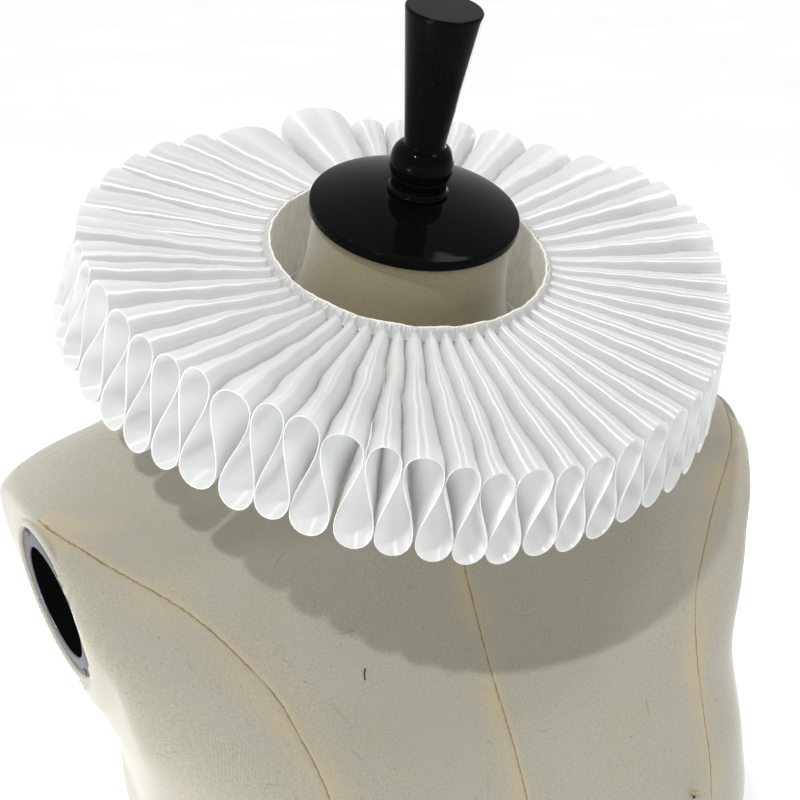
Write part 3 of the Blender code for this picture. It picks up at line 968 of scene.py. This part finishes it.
def weave_group():
    """Plain weave: threads of two directions as sines, uneven in strength, with rare slubs."""
    tree, n, given, out = new_group(
        "plain_weave", {"Vector": None, "Pitch": 0.0009}, ["Thread", "Slub", "Mottle"],
    )
    spot = given["Vector"]
    parts = n.add("ShaderNodeSeparateXYZ", {0: spot}).outputs
    turns = n.maths("DIVIDE", 2.0 * math.pi, given["Pitch"])
    swerve = n.times(n.noise(spot, 260.0, 3.0), 7.0)
    warp = n.maths("SINE", n.plus(n.times(parts[0], turns), swerve))
    weft = n.maths("SINE", n.plus(n.times(parts[1], turns), swerve))
    uneven = n.streaks(spot, (1.0, 0.35, 1.0), 2300.0, 2.0)
    level = n.streaks(spot, (0.28, 1.0, 1.0), 2100.0, 2.0)
    across = n.streaks(spot, (0.10, 1.0, 1.0), 420.0, 1.0)
    upright = n.streaks(spot, (1.0, 0.14, 1.0), 330.0, 1.0)
    mixed = n.plus(n.times(n.times(warp, weft), 0.16), n.plus(uneven, level))
    n.fill(out, {
        "Thread": n.times(mixed, 0.5),
        "Slub": n.maths("MAXIMUM", n.ramp(across, 0.69, 0.78), n.ramp(upright, 0.71, 0.80)),
        "Mottle": n.noise(spot, 24.0, 4.0, 0.6),
    })
    return tree


def seam_group():
    """A seam from its signed distance: a sunk line, the ridge beside it, and a yellowed border."""
    tree, n, given, out = new_group(
        "sewn_seam", {"Distance": 1.0, "Vector": None, "On": 1.0}, ["Line", "Stain", "Height"],
    )
    spot = given["Vector"]
    shaky = n.maths("MULTIPLY_ADD", n.noise(spot, 330.0, 2.0), 0.0011, -0.00055)
    gap = n.maths("ABSOLUTE", n.plus(given["Distance"], shaky))
    broken = n.ramp(n.noise(spot, 190.0, 2.0), 0.34, 0.56, 0.55, 1.0)
    line = n.times(n.ramp(gap, 0.0001, 0.0006, 1.0, 0.0), broken)
    sunk = n.ramp(gap, 0.0, 0.0016, -1.0, 0.0)
    ridge = n.times(n.ramp(gap, 0.0012, 0.0026), n.ramp(gap, 0.0026, 0.0060, 1.0, 0.0))
    patchy = n.ramp(n.noise(spot, 21.0, 3.0), 0.40, 0.68)
    wide = n.times(n.ramp(gap, 0.0, 0.018, 1.0, 0.0), patchy)
    close = n.ramp(gap, 0.0004, 0.0050, 0.60, 0.0)
    n.fill(out, {
        "Line": n.times(line, given["On"]),
        "Stain": n.times(n.maths("MAXIMUM", wide, close), given["On"]),
        "Height": n.times(n.plus(sunk, n.times(ridge, 0.35)), given["On"]),
    })
    return tree


def dust_group():
    """Fine dust and faint rubbing for glossy and metal faces: rare specks over a slow change."""
    tree, n, given, out = new_group(
        "dust_and_rub", {"Vector": None, "Amount": 0.5}, ["Dust", "Rub"],
    )
    specks = n.ramp(n.noise(given["Vector"], 900.0, 1.0), 0.70, 0.82)
    slow = n.ramp(n.noise(given["Vector"], 38.0, 4.0, 0.65), 0.35, 0.75)
    n.fill(out, {
        "Dust": n.times(specks, given["Amount"]),
        "Rub": n.times(slow, given["Amount"]),
    })
    return tree


def shared_group(name):
    """A node group that several materials use, built the first time that one asks for it."""
    makers = {"plain_weave": weave_group, "sewn_seam": seam_group, "dust_and_rub": dust_group}
    return bpy.data.node_groups.get(name) or makers[name]()


def use_group(nodes, name, values):
    """Places a shared group in a material and returns its outputs."""
    return nodes.add("ShaderNodeGroup", values, node_tree=shared_group(name)).outputs


def new_material(name):
    """An empty Principled material, with the helper that fills it and its shader's sockets."""
    made = bpy.data.materials.new(name)
    made.use_nodes = True
    nodes = Nodes(made.node_tree)
    return made, nodes, made.node_tree.nodes["Principled BSDF"].inputs


def satin_material(name, settings, glow_field):
    """White satin ribbon: sheen stretched across its threads, fine creases, light passing through.

    glow_field names the attribute that is 1 where this face of the ribbon is inside a loop and
    is given a painted glow, an emission that stands in for the light that comes through the cloth.
    None means the selvedge, painted a brighter white as a highlight where its edges catch the light.
    """
    made, n, shader = new_material(name)
    uv = n.uv()
    threads = n.streaks(uv, (0.02, 1.0, 1.0), 2600.0, 1.0)
    creases = n.streaks(uv, (1.0, 0.10, 1.0), 150.0, 3.0)
    if glow_field is None:
        # Painted highlight: the selvedge is a brighter white than the satin, for the light its edges
        # catch
        toned = n.blend(n.ramp(threads, 0.3, 0.7), (0.90, 0.91, 0.93), (0.86, 0.87, 0.89))
    else:
        outward = n.add("ShaderNodeSeparateXYZ", {0: uv}).outputs[1]
        broad = n.streaks(uv, (1.0, 0.35, 1.0), 34.0, 2.0)
        cool = n.blend(n.ramp(outward, 0.02, 0.09), settings.satin_colour, (0.66, 0.665, 0.67))
        toned = n.blend(n.ramp(broad, 0.3, 0.7, 0.0, 0.20), cool, (0.55, 0.56, 0.54))
        # Painted glow: emission inside the loops, its colour following the creases, in place of
        # light through the cloth
        through = n.blend(n.ramp(creases, 0.3, 0.7), (0.93, 0.96, 0.95), (0.85, 0.88, 0.87))
        n.fill(shader, {
            "Emission Color": n.blend(n.field(glow_field), (0.0, 0.0, 0.0), through),
            "Emission Strength": settings.painted_loop_glow,
        })
    soft = n.bump(creases, 0.00022, 0.6)
    n.fill(shader, {
        "Base Color": toned,
        "Roughness": n.ramp(threads, 0.3, 0.7, 0.33, 0.43),
        "IOR": 2.0,
        "Anisotropic": 0.97,
        "Anisotropic Rotation": 0.25,
        "Specular IOR Level": 0.9,
        "Subsurface Weight": 0.5,
        "Subsurface Radius": (0.0060, 0.0060, 0.0060),
        "Subsurface Scale": 1.0,
        "Tangent": n.tangent(),
        "Normal": n.bump(threads, 0.00002, 0.4, soft),
    })
    return made


def band_material(settings):
    """Gathered white band cloth with a cream folded edge at the top."""
    made, n, shader = new_material("white_band")
    uv = n.uv()
    thread = use_group(n, "plain_weave", {"Vector": uv, "Pitch": 0.0005})["Thread"]
    gathers = n.streaks(uv, (1.0, 0.16, 1.0), 520.0, 3.0)
    between = n.ramp(thread, 0.3, 0.7, 0.0, 0.35)
    body = n.blend(between, settings.band_colour, (0.68, 0.67, 0.60))
    # Painted shade: darker where the gathers' bump is low, in their folds
    shade = n.blend(n.ramp(gathers, 0.36, 0.56, 0.45, 0.0), body, (0.55, 0.55, 0.48))
    foot, fold = (BAND_TOP - depth for depth in BAND_EDGE_DEPTH)
    edge = n.ramp(n.field("up_band"), foot, fold)
    n.fill(shader, {
        "Base Color": n.blend(edge, shade, settings.edge_colour),
        # Painted glow: the band emits its own shaded colour, in place of light through its cloth
        "Emission Color": shade,
        "Emission Strength": settings.painted_band_glow,
        "Roughness": n.ramp(thread, 0.2, 0.8, 0.45, 0.60),
        "Anisotropic": 0.8,
        "Anisotropic Rotation": 0.25,
        "Tangent": n.tangent(),
        "Normal": n.bump(thread, 0.00012, 0.5, n.bump(gathers, 0.0006, 0.8)),
    })
    return made


def linen_material(name, settings, seams):
    """Tight beige linen: weave, slubs and specks, slow mottling, and seams where there are any.

    The neck is painted darker and browner, as shade inside the band.
    """
    made, n, shader = new_material(name)
    uv = n.uv()
    weave = use_group(n, "plain_weave", {"Vector": uv, "Pitch": settings.thread_pitch})
    between = n.ramp(weave["Thread"], 0.38, 0.62, 0.62, 0.0)
    base = n.blend(between, settings.linen_colour, settings.linen_dark)
    grey = n.blend(n.ramp(weave["Mottle"], 0.42, 0.72, 0.0, 0.40), base, (0.45, 0.435, 0.37))
    toned = n.blend(n.times(weave["Slub"], 0.30), grey, (0.25, 0.21, 0.13))
    # Painted shade: the neck, inside the band and under the cap, multiplied darker and browner
    toned = n.blend(n.field("neck_part"), toned, settings.neck_shade_colour, "MULTIPLY")
    specks = n.ramp(n.noise(uv, 480.0, 1.0), 0.735, 0.80)
    dashes = n.ramp(n.streaks(uv, (0.45, 1.0, 1.0), 620.0, 1.0), 0.72, 0.79)
    fleck = n.maths("MAXIMUM", specks, dashes)
    toned = n.blend(n.times(fleck, 0.45), toned, (0.16, 0.13, 0.09))
    height = n.times(weave["Thread"], 0.30)
    if seams:
        for seam_name in ("seam_centre", "seam_princess", "seam_side"):
            given = {"Distance": n.field(seam_name), "Vector": uv}
            if seam_name == "seam_side":
                given["On"] = n.field("seam_side_on")
            seam = use_group(n, "sewn_seam", given)
            toned = n.blend(n.times(seam["Stain"], 0.70), toned, settings.stain_colour)
            toned = n.blend(n.times(seam["Line"], 0.85), toned, (0.19, 0.14, 0.06))
            height = n.maths("MULTIPLY_ADD", seam["Height"], 0.35, height)
    n.fill(shader, {
        "Base Color": toned,
        "Roughness": n.ramp(weave["Thread"], 0.2, 0.8, 0.82, 0.94),
        "Sheen Weight": 0.75,
        "Sheen Roughness": 0.45,
        "Specular IOR Level": 0.25,
        "Normal": n.bump(height, 0.00055, 0.9),
    })
    return made


def lacquer_material(settings):
    """Black gloss lacquer with fine dust and a faint orange-peel surface."""
    made, n, shader = new_material("black_lacquer")
    place = n.place()
    worn = use_group(n, "dust_and_rub", {"Vector": place, "Amount": 0.5})
    n.fill(shader, {
        "Base Color": n.blend(worn["Dust"], settings.lacquer_colour, (0.05, 0.05, 0.05)),
        "Roughness": n.ramp(worn["Rub"], 0.0, 0.5, 0.07, 0.16),
        "Specular IOR Level": 0.035,
        "Normal": n.bump(n.noise(place, 160.0, 2.0), 0.00004, 0.25),
    })
    return made


def steel_material(settings):
    """Dull pressed sheet metal with fine scratches along one direction."""
    made, n, shader = new_material("grey_steel")
    place = n.place()
    worn = use_group(n, "dust_and_rub", {"Vector": place, "Amount": 0.8})
    scratches = n.streaks(place, (1.0, 1.0, 0.06), 700.0, 2.0)
    n.fill(shader, {
        "Base Color": n.blend(worn["Rub"], settings.steel_colour, (0.11, 0.11, 0.13)),
        "Roughness": n.ramp(scratches, 0.3, 0.7, 0.34, 0.50),
        "Metallic": 0.75,
        "Normal": n.bump(scratches, 0.00005, 0.5),
    })
    return made


def plate_material():
    """Matt black card behind the arm ring, with a little dust."""
    made, n, shader = new_material("black_plate")
    place = n.place()
    worn = use_group(n, "dust_and_rub", {"Vector": place, "Amount": 0.4})
    n.fill(shader, {
        "Base Color": n.blend(worn["Dust"], (0.002, 0.002, 0.002), (0.012, 0.012, 0.012)),
        "Roughness": n.ramp(worn["Rub"], 0.0, 0.5, 0.60, 0.75),
        "Specular IOR Level": 0.0,
        "Normal": n.bump(n.noise(place, 800.0, 2.0), 0.0001, 0.4),
    })
    return made


def thread_material(name, light, dark):
    """Spun thread: two tones in short stretches."""
    made, n, shader = new_material(name)
    spun = n.noise(n.place(), 1400.0, 2.0)
    n.fill(shader, {
        "Base Color": n.blend(n.ramp(spun, 0.35, 0.65), light, dark),
        "Roughness": n.ramp(spun, 0.3, 0.7, 0.75, 0.90),
    })
    return made


def underside_material():
    """Plain pulp board under the form."""
    made, n, shader = new_material("grey_board")
    fibres = n.streaks(n.place(), (1.0, 0.3, 1.0), 320.0, 4.0)
    n.fill(shader, {
        "Base Color": n.blend(n.ramp(fibres, 0.3, 0.7), (0.32, 0.29, 0.23), (0.44, 0.40, 0.32)),
        "Roughness": n.ramp(fibres, 0.3, 0.7, 0.80, 0.95),
        "Normal": n.bump(fibres, 0.0003, 0.6),
    })
    return made


class RUFF_OT_ribbon(bpy.types.Operator):
    """Make the satin ribbon pleated into figure-of-eight loops"""

    bl_idname = "ruff.ribbon"
    bl_label = "Pleated Ribbon"

    def execute(self, context):
        settings = context.scene.ruff_settings
        phase, out = np.meshgrid(
            np.linspace(0.0, pleat_count(), pleat_count() * STEPS_PER_PLEAT + 1),
            np.concatenate([np.linspace(0.0, SELVEDGE_FROM, RIBBON_ROWS), [1.0]]),
            indexing="ij",
        )
        points = ribbon_points(phase, out, settings)
        along = length_along(points, 0)
        middle = np.broadcast_to(along[:, RIBBON_ROWS // 2][:, None], along.shape)
        uv = np.stack([middle, length_along(points, 1)], axis=-1)
        mesh = surface_mesh("ruff_ribbon", to_world(points), uv)
        upper = 0.5 + 0.5 * np.cos(2.0 * math.pi * (phase - 0.5))
        # Masks of the painted glow: the lower loops of the front face and the insides of the upper
        # loops, fading towards the rim
        deep = 1.0 - GLOW_FADE * out
        store_field(mesh, "glow_lower_loop", LOWER_GLOW * deep * smoothstep(*LOWER_GLOW_FROM, upper))
        store_field(mesh, "glow_upper_loop", deep * smoothstep(*UPPER_GLOW_FROM, upper))
        # The front face and the inside face carry the painted glow, the selvedge a painted highlight
        front = satin_material("white_satin", settings, "glow_lower_loop")
        made = add_piece("ruff_ribbon", mesh, front, ["ruffle"])
        mesh.materials.append(satin_material("white_satin_inside", settings, "glow_upper_loop"))
        mesh.materials.append(satin_material("white_satin_edge_highlight", settings, None))
        give_wall(made, settings.ribbon_wall, 0.0)
        made.modifiers["wall"].material_offset = 1
        made.modifiers["wall"].material_offset_rim = 2
        heading = self.heading(settings, front)
        return {"FINISHED"}

    def heading(self, settings, finish):
        """The narrow gathered edge between the band and the loops' roots."""
        start, end = BAND_START_DEG + HEADING_END_GAP_DEG, BAND_END_DEG - HEADING_END_GAP_DEG
        steps = pleat_count() * HEADING_STEPS_PER_PLEAT
        azimuth, across = np.meshgrid(
            np.radians(np.linspace(start, end, steps + 1)),
            np.linspace(0.0, 1.0, HEADING_ROWS + 1),
            indexing="ij",
        )
        points = heading_points(azimuth, across)
        mesh = surface_mesh("ribbon_heading", to_world(points), metre_uv(points))
        made = add_piece("ribbon_heading", mesh, finish)
        give_wall(made, settings.ribbon_wall, 1.0)
        return made


class RUFF_OT_neckband(bpy.types.Operator):
    """Make the upright band that the ribbon is sewn to"""

    bl_idname = "ruff.neckband"
    bl_label = "Neckband"

    def execute(self, context):
        azimuth = np.radians(np.linspace(BAND_START_DEG, BAND_END_DEG, BAND_STEPS + 1))
        radius, height = band_profile()
        points = band_points(azimuth, radius, height)
        uv = metre_uv(points, wrap_cols=True)
        uv[..., 0] = (azimuth * BAND_INNER_RADIUS)[:, None]
        mesh = surface_mesh("neckband_cloth", to_world(points), uv, wrap_cols=True, cap_ends=True)
        store_field(mesh, "up_band", points[..., 2])
        finish = band_material(context.scene.ruff_settings)
        made = add_piece("neckband_cloth", mesh, finish, ["neckband"])
        return {"FINISHED"}


class RUFF_OT_form(bpy.types.Operator):
    """Make the dress form's linen cover and the board under it"""

    bl_idname = "ruff.form"
    bl_label = "Form Cover"

    def execute(self, context):
        settings = context.scene.form_settings
        sections = len(FORM_SECTIONS) - 2
        place = np.linspace(0.0, sections, sections * FORM_ROWS_PER_SECTION + 1)
        even = np.linspace(0.0, 2.0 * math.pi, FORM_COLUMNS, endpoint=False)
        angle = even + SIDE_CROWDING * np.sin(2.0 * even)
        points = form_points(place, angle, settings.lip_height)
        up, around = np.moveaxis(metre_uv(points, wrap_cols=True), -1, 0)
        uv = np.stack([around - 0.5 * around[:, -1:], up], axis=-1)
        mesh = surface_mesh("form_cover", points + NECK_POINT, uv, wrap_cols=True)
        for name, values in seam_fields(points, angle).items():
            store_field(mesh, name, values)
        # Mask of the neck's painted shade
        on_neck = smoothstep(NECK_FOOT, NECK_FOOT + NECK_BLEND, points[..., 2])
        store_field(mesh, "neck_part", on_neck)
        finish = linen_material("beige_linen", settings, seams=True)
        cover = add_piece("form_cover", mesh, finish, ["form_torso"])
        give_wall(cover, settings.cover_wall, -1.0)
        self.threads("loose_thread", LOOSE_THREADS, LOOSE_COLOURS)
        self.threads("frayed_threads", TUFT_THREADS, TUFT_COLOURS)
        edge = linen_material("beige_linen_edge", settings, seams=False)
        rolls = [self.rolled_edge(side, word, edge) for side, word in ARM_SIDES]
        board = self.underside(points[0] + NECK_POINT)
        return {"FINISHED"}

    def threads(self, name, table, colours):
        """A table's threads, as thin tubes joined in one mesh."""
        joined = bmesh.new()
        for x, y, z, aside, ahead, up, length, radius in zip(*columns(table).values()):
            start, run = np.array([x, y, z]), np.array([aside, -ahead, up])
            points = thread_points(start, run, length, radius)
            uv = metre_uv(points, wrap_cols=True)
            tube = surface_mesh("tube", points + NECK_POINT, uv, wrap_cols=True, cap_ends=True)
            joined.from_mesh(tube)
            bpy.data.meshes.remove(tube)
        bmesh.ops.recalc_face_normals(joined, faces=joined.faces)
        mesh = bpy.data.meshes.new(name)
        joined.to_mesh(mesh)
        joined.free()
        mesh.shade_smooth()
        add_piece(name, mesh, thread_material(name + "_fibre", *colours))

    def rolled_edge(self, side, word, finish):
        """The linen's edge rolled over round an arm ring: a flattened tube round its oval."""
        turn = np.linspace(0.0, 2.0 * math.pi, ROLL_SIDES, endpoint=False)
        widening = ROLL_WIDENING + ROLL_HALF_WIDTH * np.cos(turn)
        height = ROLL_HEIGHT + ROLL_HALF_HEIGHT * np.sin(turn)
        name = "arm_rolled_edge_" + word
        mesh = oval_mesh(name, side, widening, height)
        return add_piece(name, mesh, finish)

    def underside(self, ring):
        """A board just inside the cover's foot: its outline drawn in, with a thickness."""
        centre = ring.mean(axis=0)
        profile = columns(BOARD_PROFILE)
        points = centre + (ring - centre)[None, :, :] * profile["share"][:, None, None]
        points[..., 2] = profile["height"][:, None]
        uv = np.concatenate([points, points[:, :1]], axis=1)[..., :2]
        mesh = surface_mesh("form_underside", points, uv, wrap_cols=True)
        close_poles(mesh)
        return add_piece("form_underside", mesh, underside_material())


class RUFF_OT_cap_and_handle(bpy.types.Operator):
    """Make the lacquered neck cap and turned handle"""

    bl_idname = "ruff.cap_and_handle"
    bl_label = "Cap and Handle"

    def execute(self, context):
        finish = lacquer_material(context.scene.fitting_settings)
        for name, profile, node in (
            ("neck_cap_lacquer", CAP_PROFILE, "neck_cap"),
            ("handle_lacquer", HANDLE_PROFILE, "handle"),
        ):
            points = turned_points(columns(profile))
            uv = metre_uv(points, wrap_rows=True)
            mesh = surface_mesh(name, to_world(points), uv, wrap_rows=True)
            close_poles(mesh)
            add_piece(name, mesh, finish, [node])
        return {"FINISHED"}


class RUFF_OT_arm_plates(bpy.types.Operator):
    """Make the pressed arm rings with their screws, and finish the dark plates"""

    bl_idname = "ruff.arm_plates"
    bl_label = "Arm Plates"

    def execute(self, context):
        steel = steel_material(context.scene.fitting_settings)
        for side, word in ARM_SIDES:
            self.ring(side, word, steel)
            self.screws(side, word, steel)
        dark = plate_material()
        for node in ("arm_cover_left", "arm_cover_right"):
            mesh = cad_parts[node].data
            mesh.materials.clear()
            mesh.materials.append(dark)
        return {"FINISHED"}

    def ring(self, side, word, finish):
        """A pressed ring: flat outside, a rounded step, and a bead round the hole."""
        name = "arm_ring_pressed_" + word
        mesh = oval_mesh(name, side, **columns(ARM_RING_PROFILE))
        add_piece(name, mesh, finish, ["arm_ring_" + word])

    def screws(self, side, word, finish):
        """Four domed screw heads on the ring: a quarter circle turned round each screw's axis."""
        centre, facing, across, upward = arm_axes(side)
        turn, up = np.meshgrid(
            np.linspace(0.0, 2.0 * math.pi, SCREW_SIDES, endpoint=False),
            np.linspace(0.0, 0.5 * math.pi, SCREW_ROWS),
            indexing="ij",
        )
        round_head = np.cos(turn)[..., None] * across + np.sin(turn)[..., None] * upward
        slot = 1.0 - SLOT_DEPTH * np.exp(-((np.cos(up) * np.sin(turn)) / SLOT_WIDTH) ** 2)
        dome = (SCREW_DOME * np.sin(up) * slot)[..., None] * facing
        head_points = SCREW_RADIUS * np.cos(up)[..., None] * round_head + dome
        heads = bmesh.new()
        for angle in np.radians(SCREW_TURNS_DEG):
            place = NECK_POINT + centre + facing * SCREW_FOOT
            place = place + (ARM_HALF_WIDTH - SCREW_INSET) * math.cos(angle) * across
            place = place + (ARM_HALF_HEIGHT - SCREW_INSET) * math.sin(angle) * upward
            points = place + head_points
            uv = np.stack([turn, up], axis=-1)
            uv = np.concatenate([uv, uv[:1]], axis=0)
            head = surface_mesh("screw_head", points, uv, wrap_rows=True)
            heads.from_mesh(head)
            bpy.data.meshes.remove(head)
        bmesh.ops.remove_doubles(heads, verts=heads.verts, dist=MERGE_DISTANCE)
        bmesh.ops.holes_fill(heads, edges=[edge for edge in heads.edges if edge.is_boundary])
        bmesh.ops.recalc_face_normals(heads, faces=heads.faces)
        mesh = bpy.data.meshes.new("arm_screws_" + word)
        heads.to_mesh(mesh)
        heads.free()
        mesh.shade_smooth()
        add_piece("arm_screws_" + word, mesh, finish)


class RUFF_OT_stage(bpy.types.Operator):
    """Set the floor, the lights and the camera"""

    bl_idname = "ruff.stage"
    bl_label = "Stage"

    def execute(self, context):
        settings = context.scene.stage_settings
        self.floor(settings)
        self.lights(settings)
        self.camera(context.scene)
        context.scene.view_settings.view_transform = "Standard"
        return {"FINISHED"}

    def floor(self, settings):
        """A wide level sheet under the form."""
        reach = np.array([-FLOOR_REACH, FLOOR_REACH])
        x, y = np.meshgrid(reach, reach, indexing="ij")
        points = np.stack([x, y, np.zeros_like(x)], axis=-1)
        mesh = surface_mesh("floor", points, points[..., :2])
        made, n, shader = new_material("pale_floor")
        place = n.place()
        cloud = n.ramp(n.noise(place, 1.5, 2.0), 0.3, 0.7)
        n.fill(shader, {
            "Base Color": n.blend(cloud, settings.floor_colour, (0.95, 0.95, 0.95)),
            "Roughness": 0.9,
        })
        mesh.materials.append(made)
        floor = bpy.data.objects.new("floor", mesh)
        bpy.context.scene.collection.objects.link(floor)

    def lights(self, settings):
        """A key light from high on the left, the soft lights, and a fill, stronger from behind."""
        world = bpy.data.worlds.new("studio")
        world.use_nodes = True
        n = Nodes(world.node_tree)
        parts = n.add("ShaderNodeSeparateXYZ", {0: n.add("ShaderNodeTexCoord").outputs["Generated"]})
        strength = n.ramp(parts.outputs[1], -0.6, 0.6, settings.fill_front, settings.fill_back)
        background = world.node_tree.nodes["Background"]
        n.fill(background.inputs, {"Color": (1.0, 1.0, 1.0), "Strength": strength})
        bpy.context.scene.world = world
        sun = bpy.data.lights.new("key", "SUN")
        sun.energy = settings.key_strength
        sun.angle = KEY_WIDTH
        sun.color = KEY_TINT
        key = bpy.data.objects.new("key", sun)
        key.rotation_euler = (0.5 * math.pi - KEY_ELEVATION, 0.0, KEY_AZIMUTH)
        bpy.context.scene.collection.objects.link(key)
        for name, place, (wide, tall), power, share in SOFT_LIGHTS:
            lamp = bpy.data.lights.new(name, "AREA")
            lamp.shape = "RECTANGLE"
            lamp.size = wide
            lamp.size_y = tall
            lamp.energy = share * getattr(settings, power)
            made = bpy.data.objects.new(name, lamp)
            made.location = place
            aim = Vector(LIGHT_AIM) - made.location
            made.rotation_euler = aim.to_track_quat("-Z", "Y").to_euler()
            bpy.context.scene.collection.objects.link(made)

    def camera(self, scene):
        """The photograph's camera: level, turned to the form's right and looking down."""
        lens = bpy.data.cameras.new("camera")
        lens.lens = CAMERA_LENS
        lens.clip_end = 100.0
        camera = bpy.data.objects.new("camera", lens)
        camera.location = (NECK_POINT + CAMERA_PLACE).tolist()
        camera.rotation_euler = (0.5 * math.pi - CAMERA_PITCH, 0.0, -CAMERA_YAW)
        scene.collection.objects.link(camera)
        scene.camera = camera


class RUFF_PT_panel(bpy.types.Panel):
    """Lists the pieces and their settings"""

    bl_idname = "RUFF_PT_panel"
    bl_label = "Ruff Collar"
    bl_space_type = "VIEW_3D"
    bl_region_type = "UI"
    bl_category = "Ruff Collar"

    def draw(self, context):
        for settings in SETTINGS:
            group = getattr(context.scene, settings)
            for name in group.bl_rna.properties.keys():
                if name not in ("rna_type", "name"):
                    self.layout.prop(group, name)
        for operator in OPERATORS:
            self.layout.operator(operator.bl_idname)


SETTINGS = {
    "ruff_settings": RuffSettings,
    "form_settings": FormSettings,
    "fitting_settings": FittingSettings,
    "stage_settings": StageSettings,
}
OPERATORS = (
    RUFF_OT_form,
    RUFF_OT_neckband,
    RUFF_OT_ribbon,
    RUFF_OT_cap_and_handle,
    RUFF_OT_arm_plates,
    RUFF_OT_stage,
)
CLASSES = (*SETTINGS.values(), *OPERATORS, RUFF_PT_panel)


def register():
    for cls in CLASSES:
        bpy.utils.register_class(cls)
    for name, group in SETTINGS.items():
        setattr(bpy.types.Scene, name, bpy.props.PointerProperty(type=group))


def unregister():
    for name in SETTINGS:
        delattr(bpy.types.Scene, name)
    for cls in reversed(CLASSES):
        bpy.utils.unregister_class(cls)


def main():
    register()
    bpy.ops.ruff.form()
    bpy.ops.ruff.neckband()
    bpy.ops.ruff.ribbon()
    bpy.ops.ruff.cap_and_handle()
    bpy.ops.ruff.arm_plates()
    bpy.ops.ruff.stage()


if __name__ == "__main__":
    main()
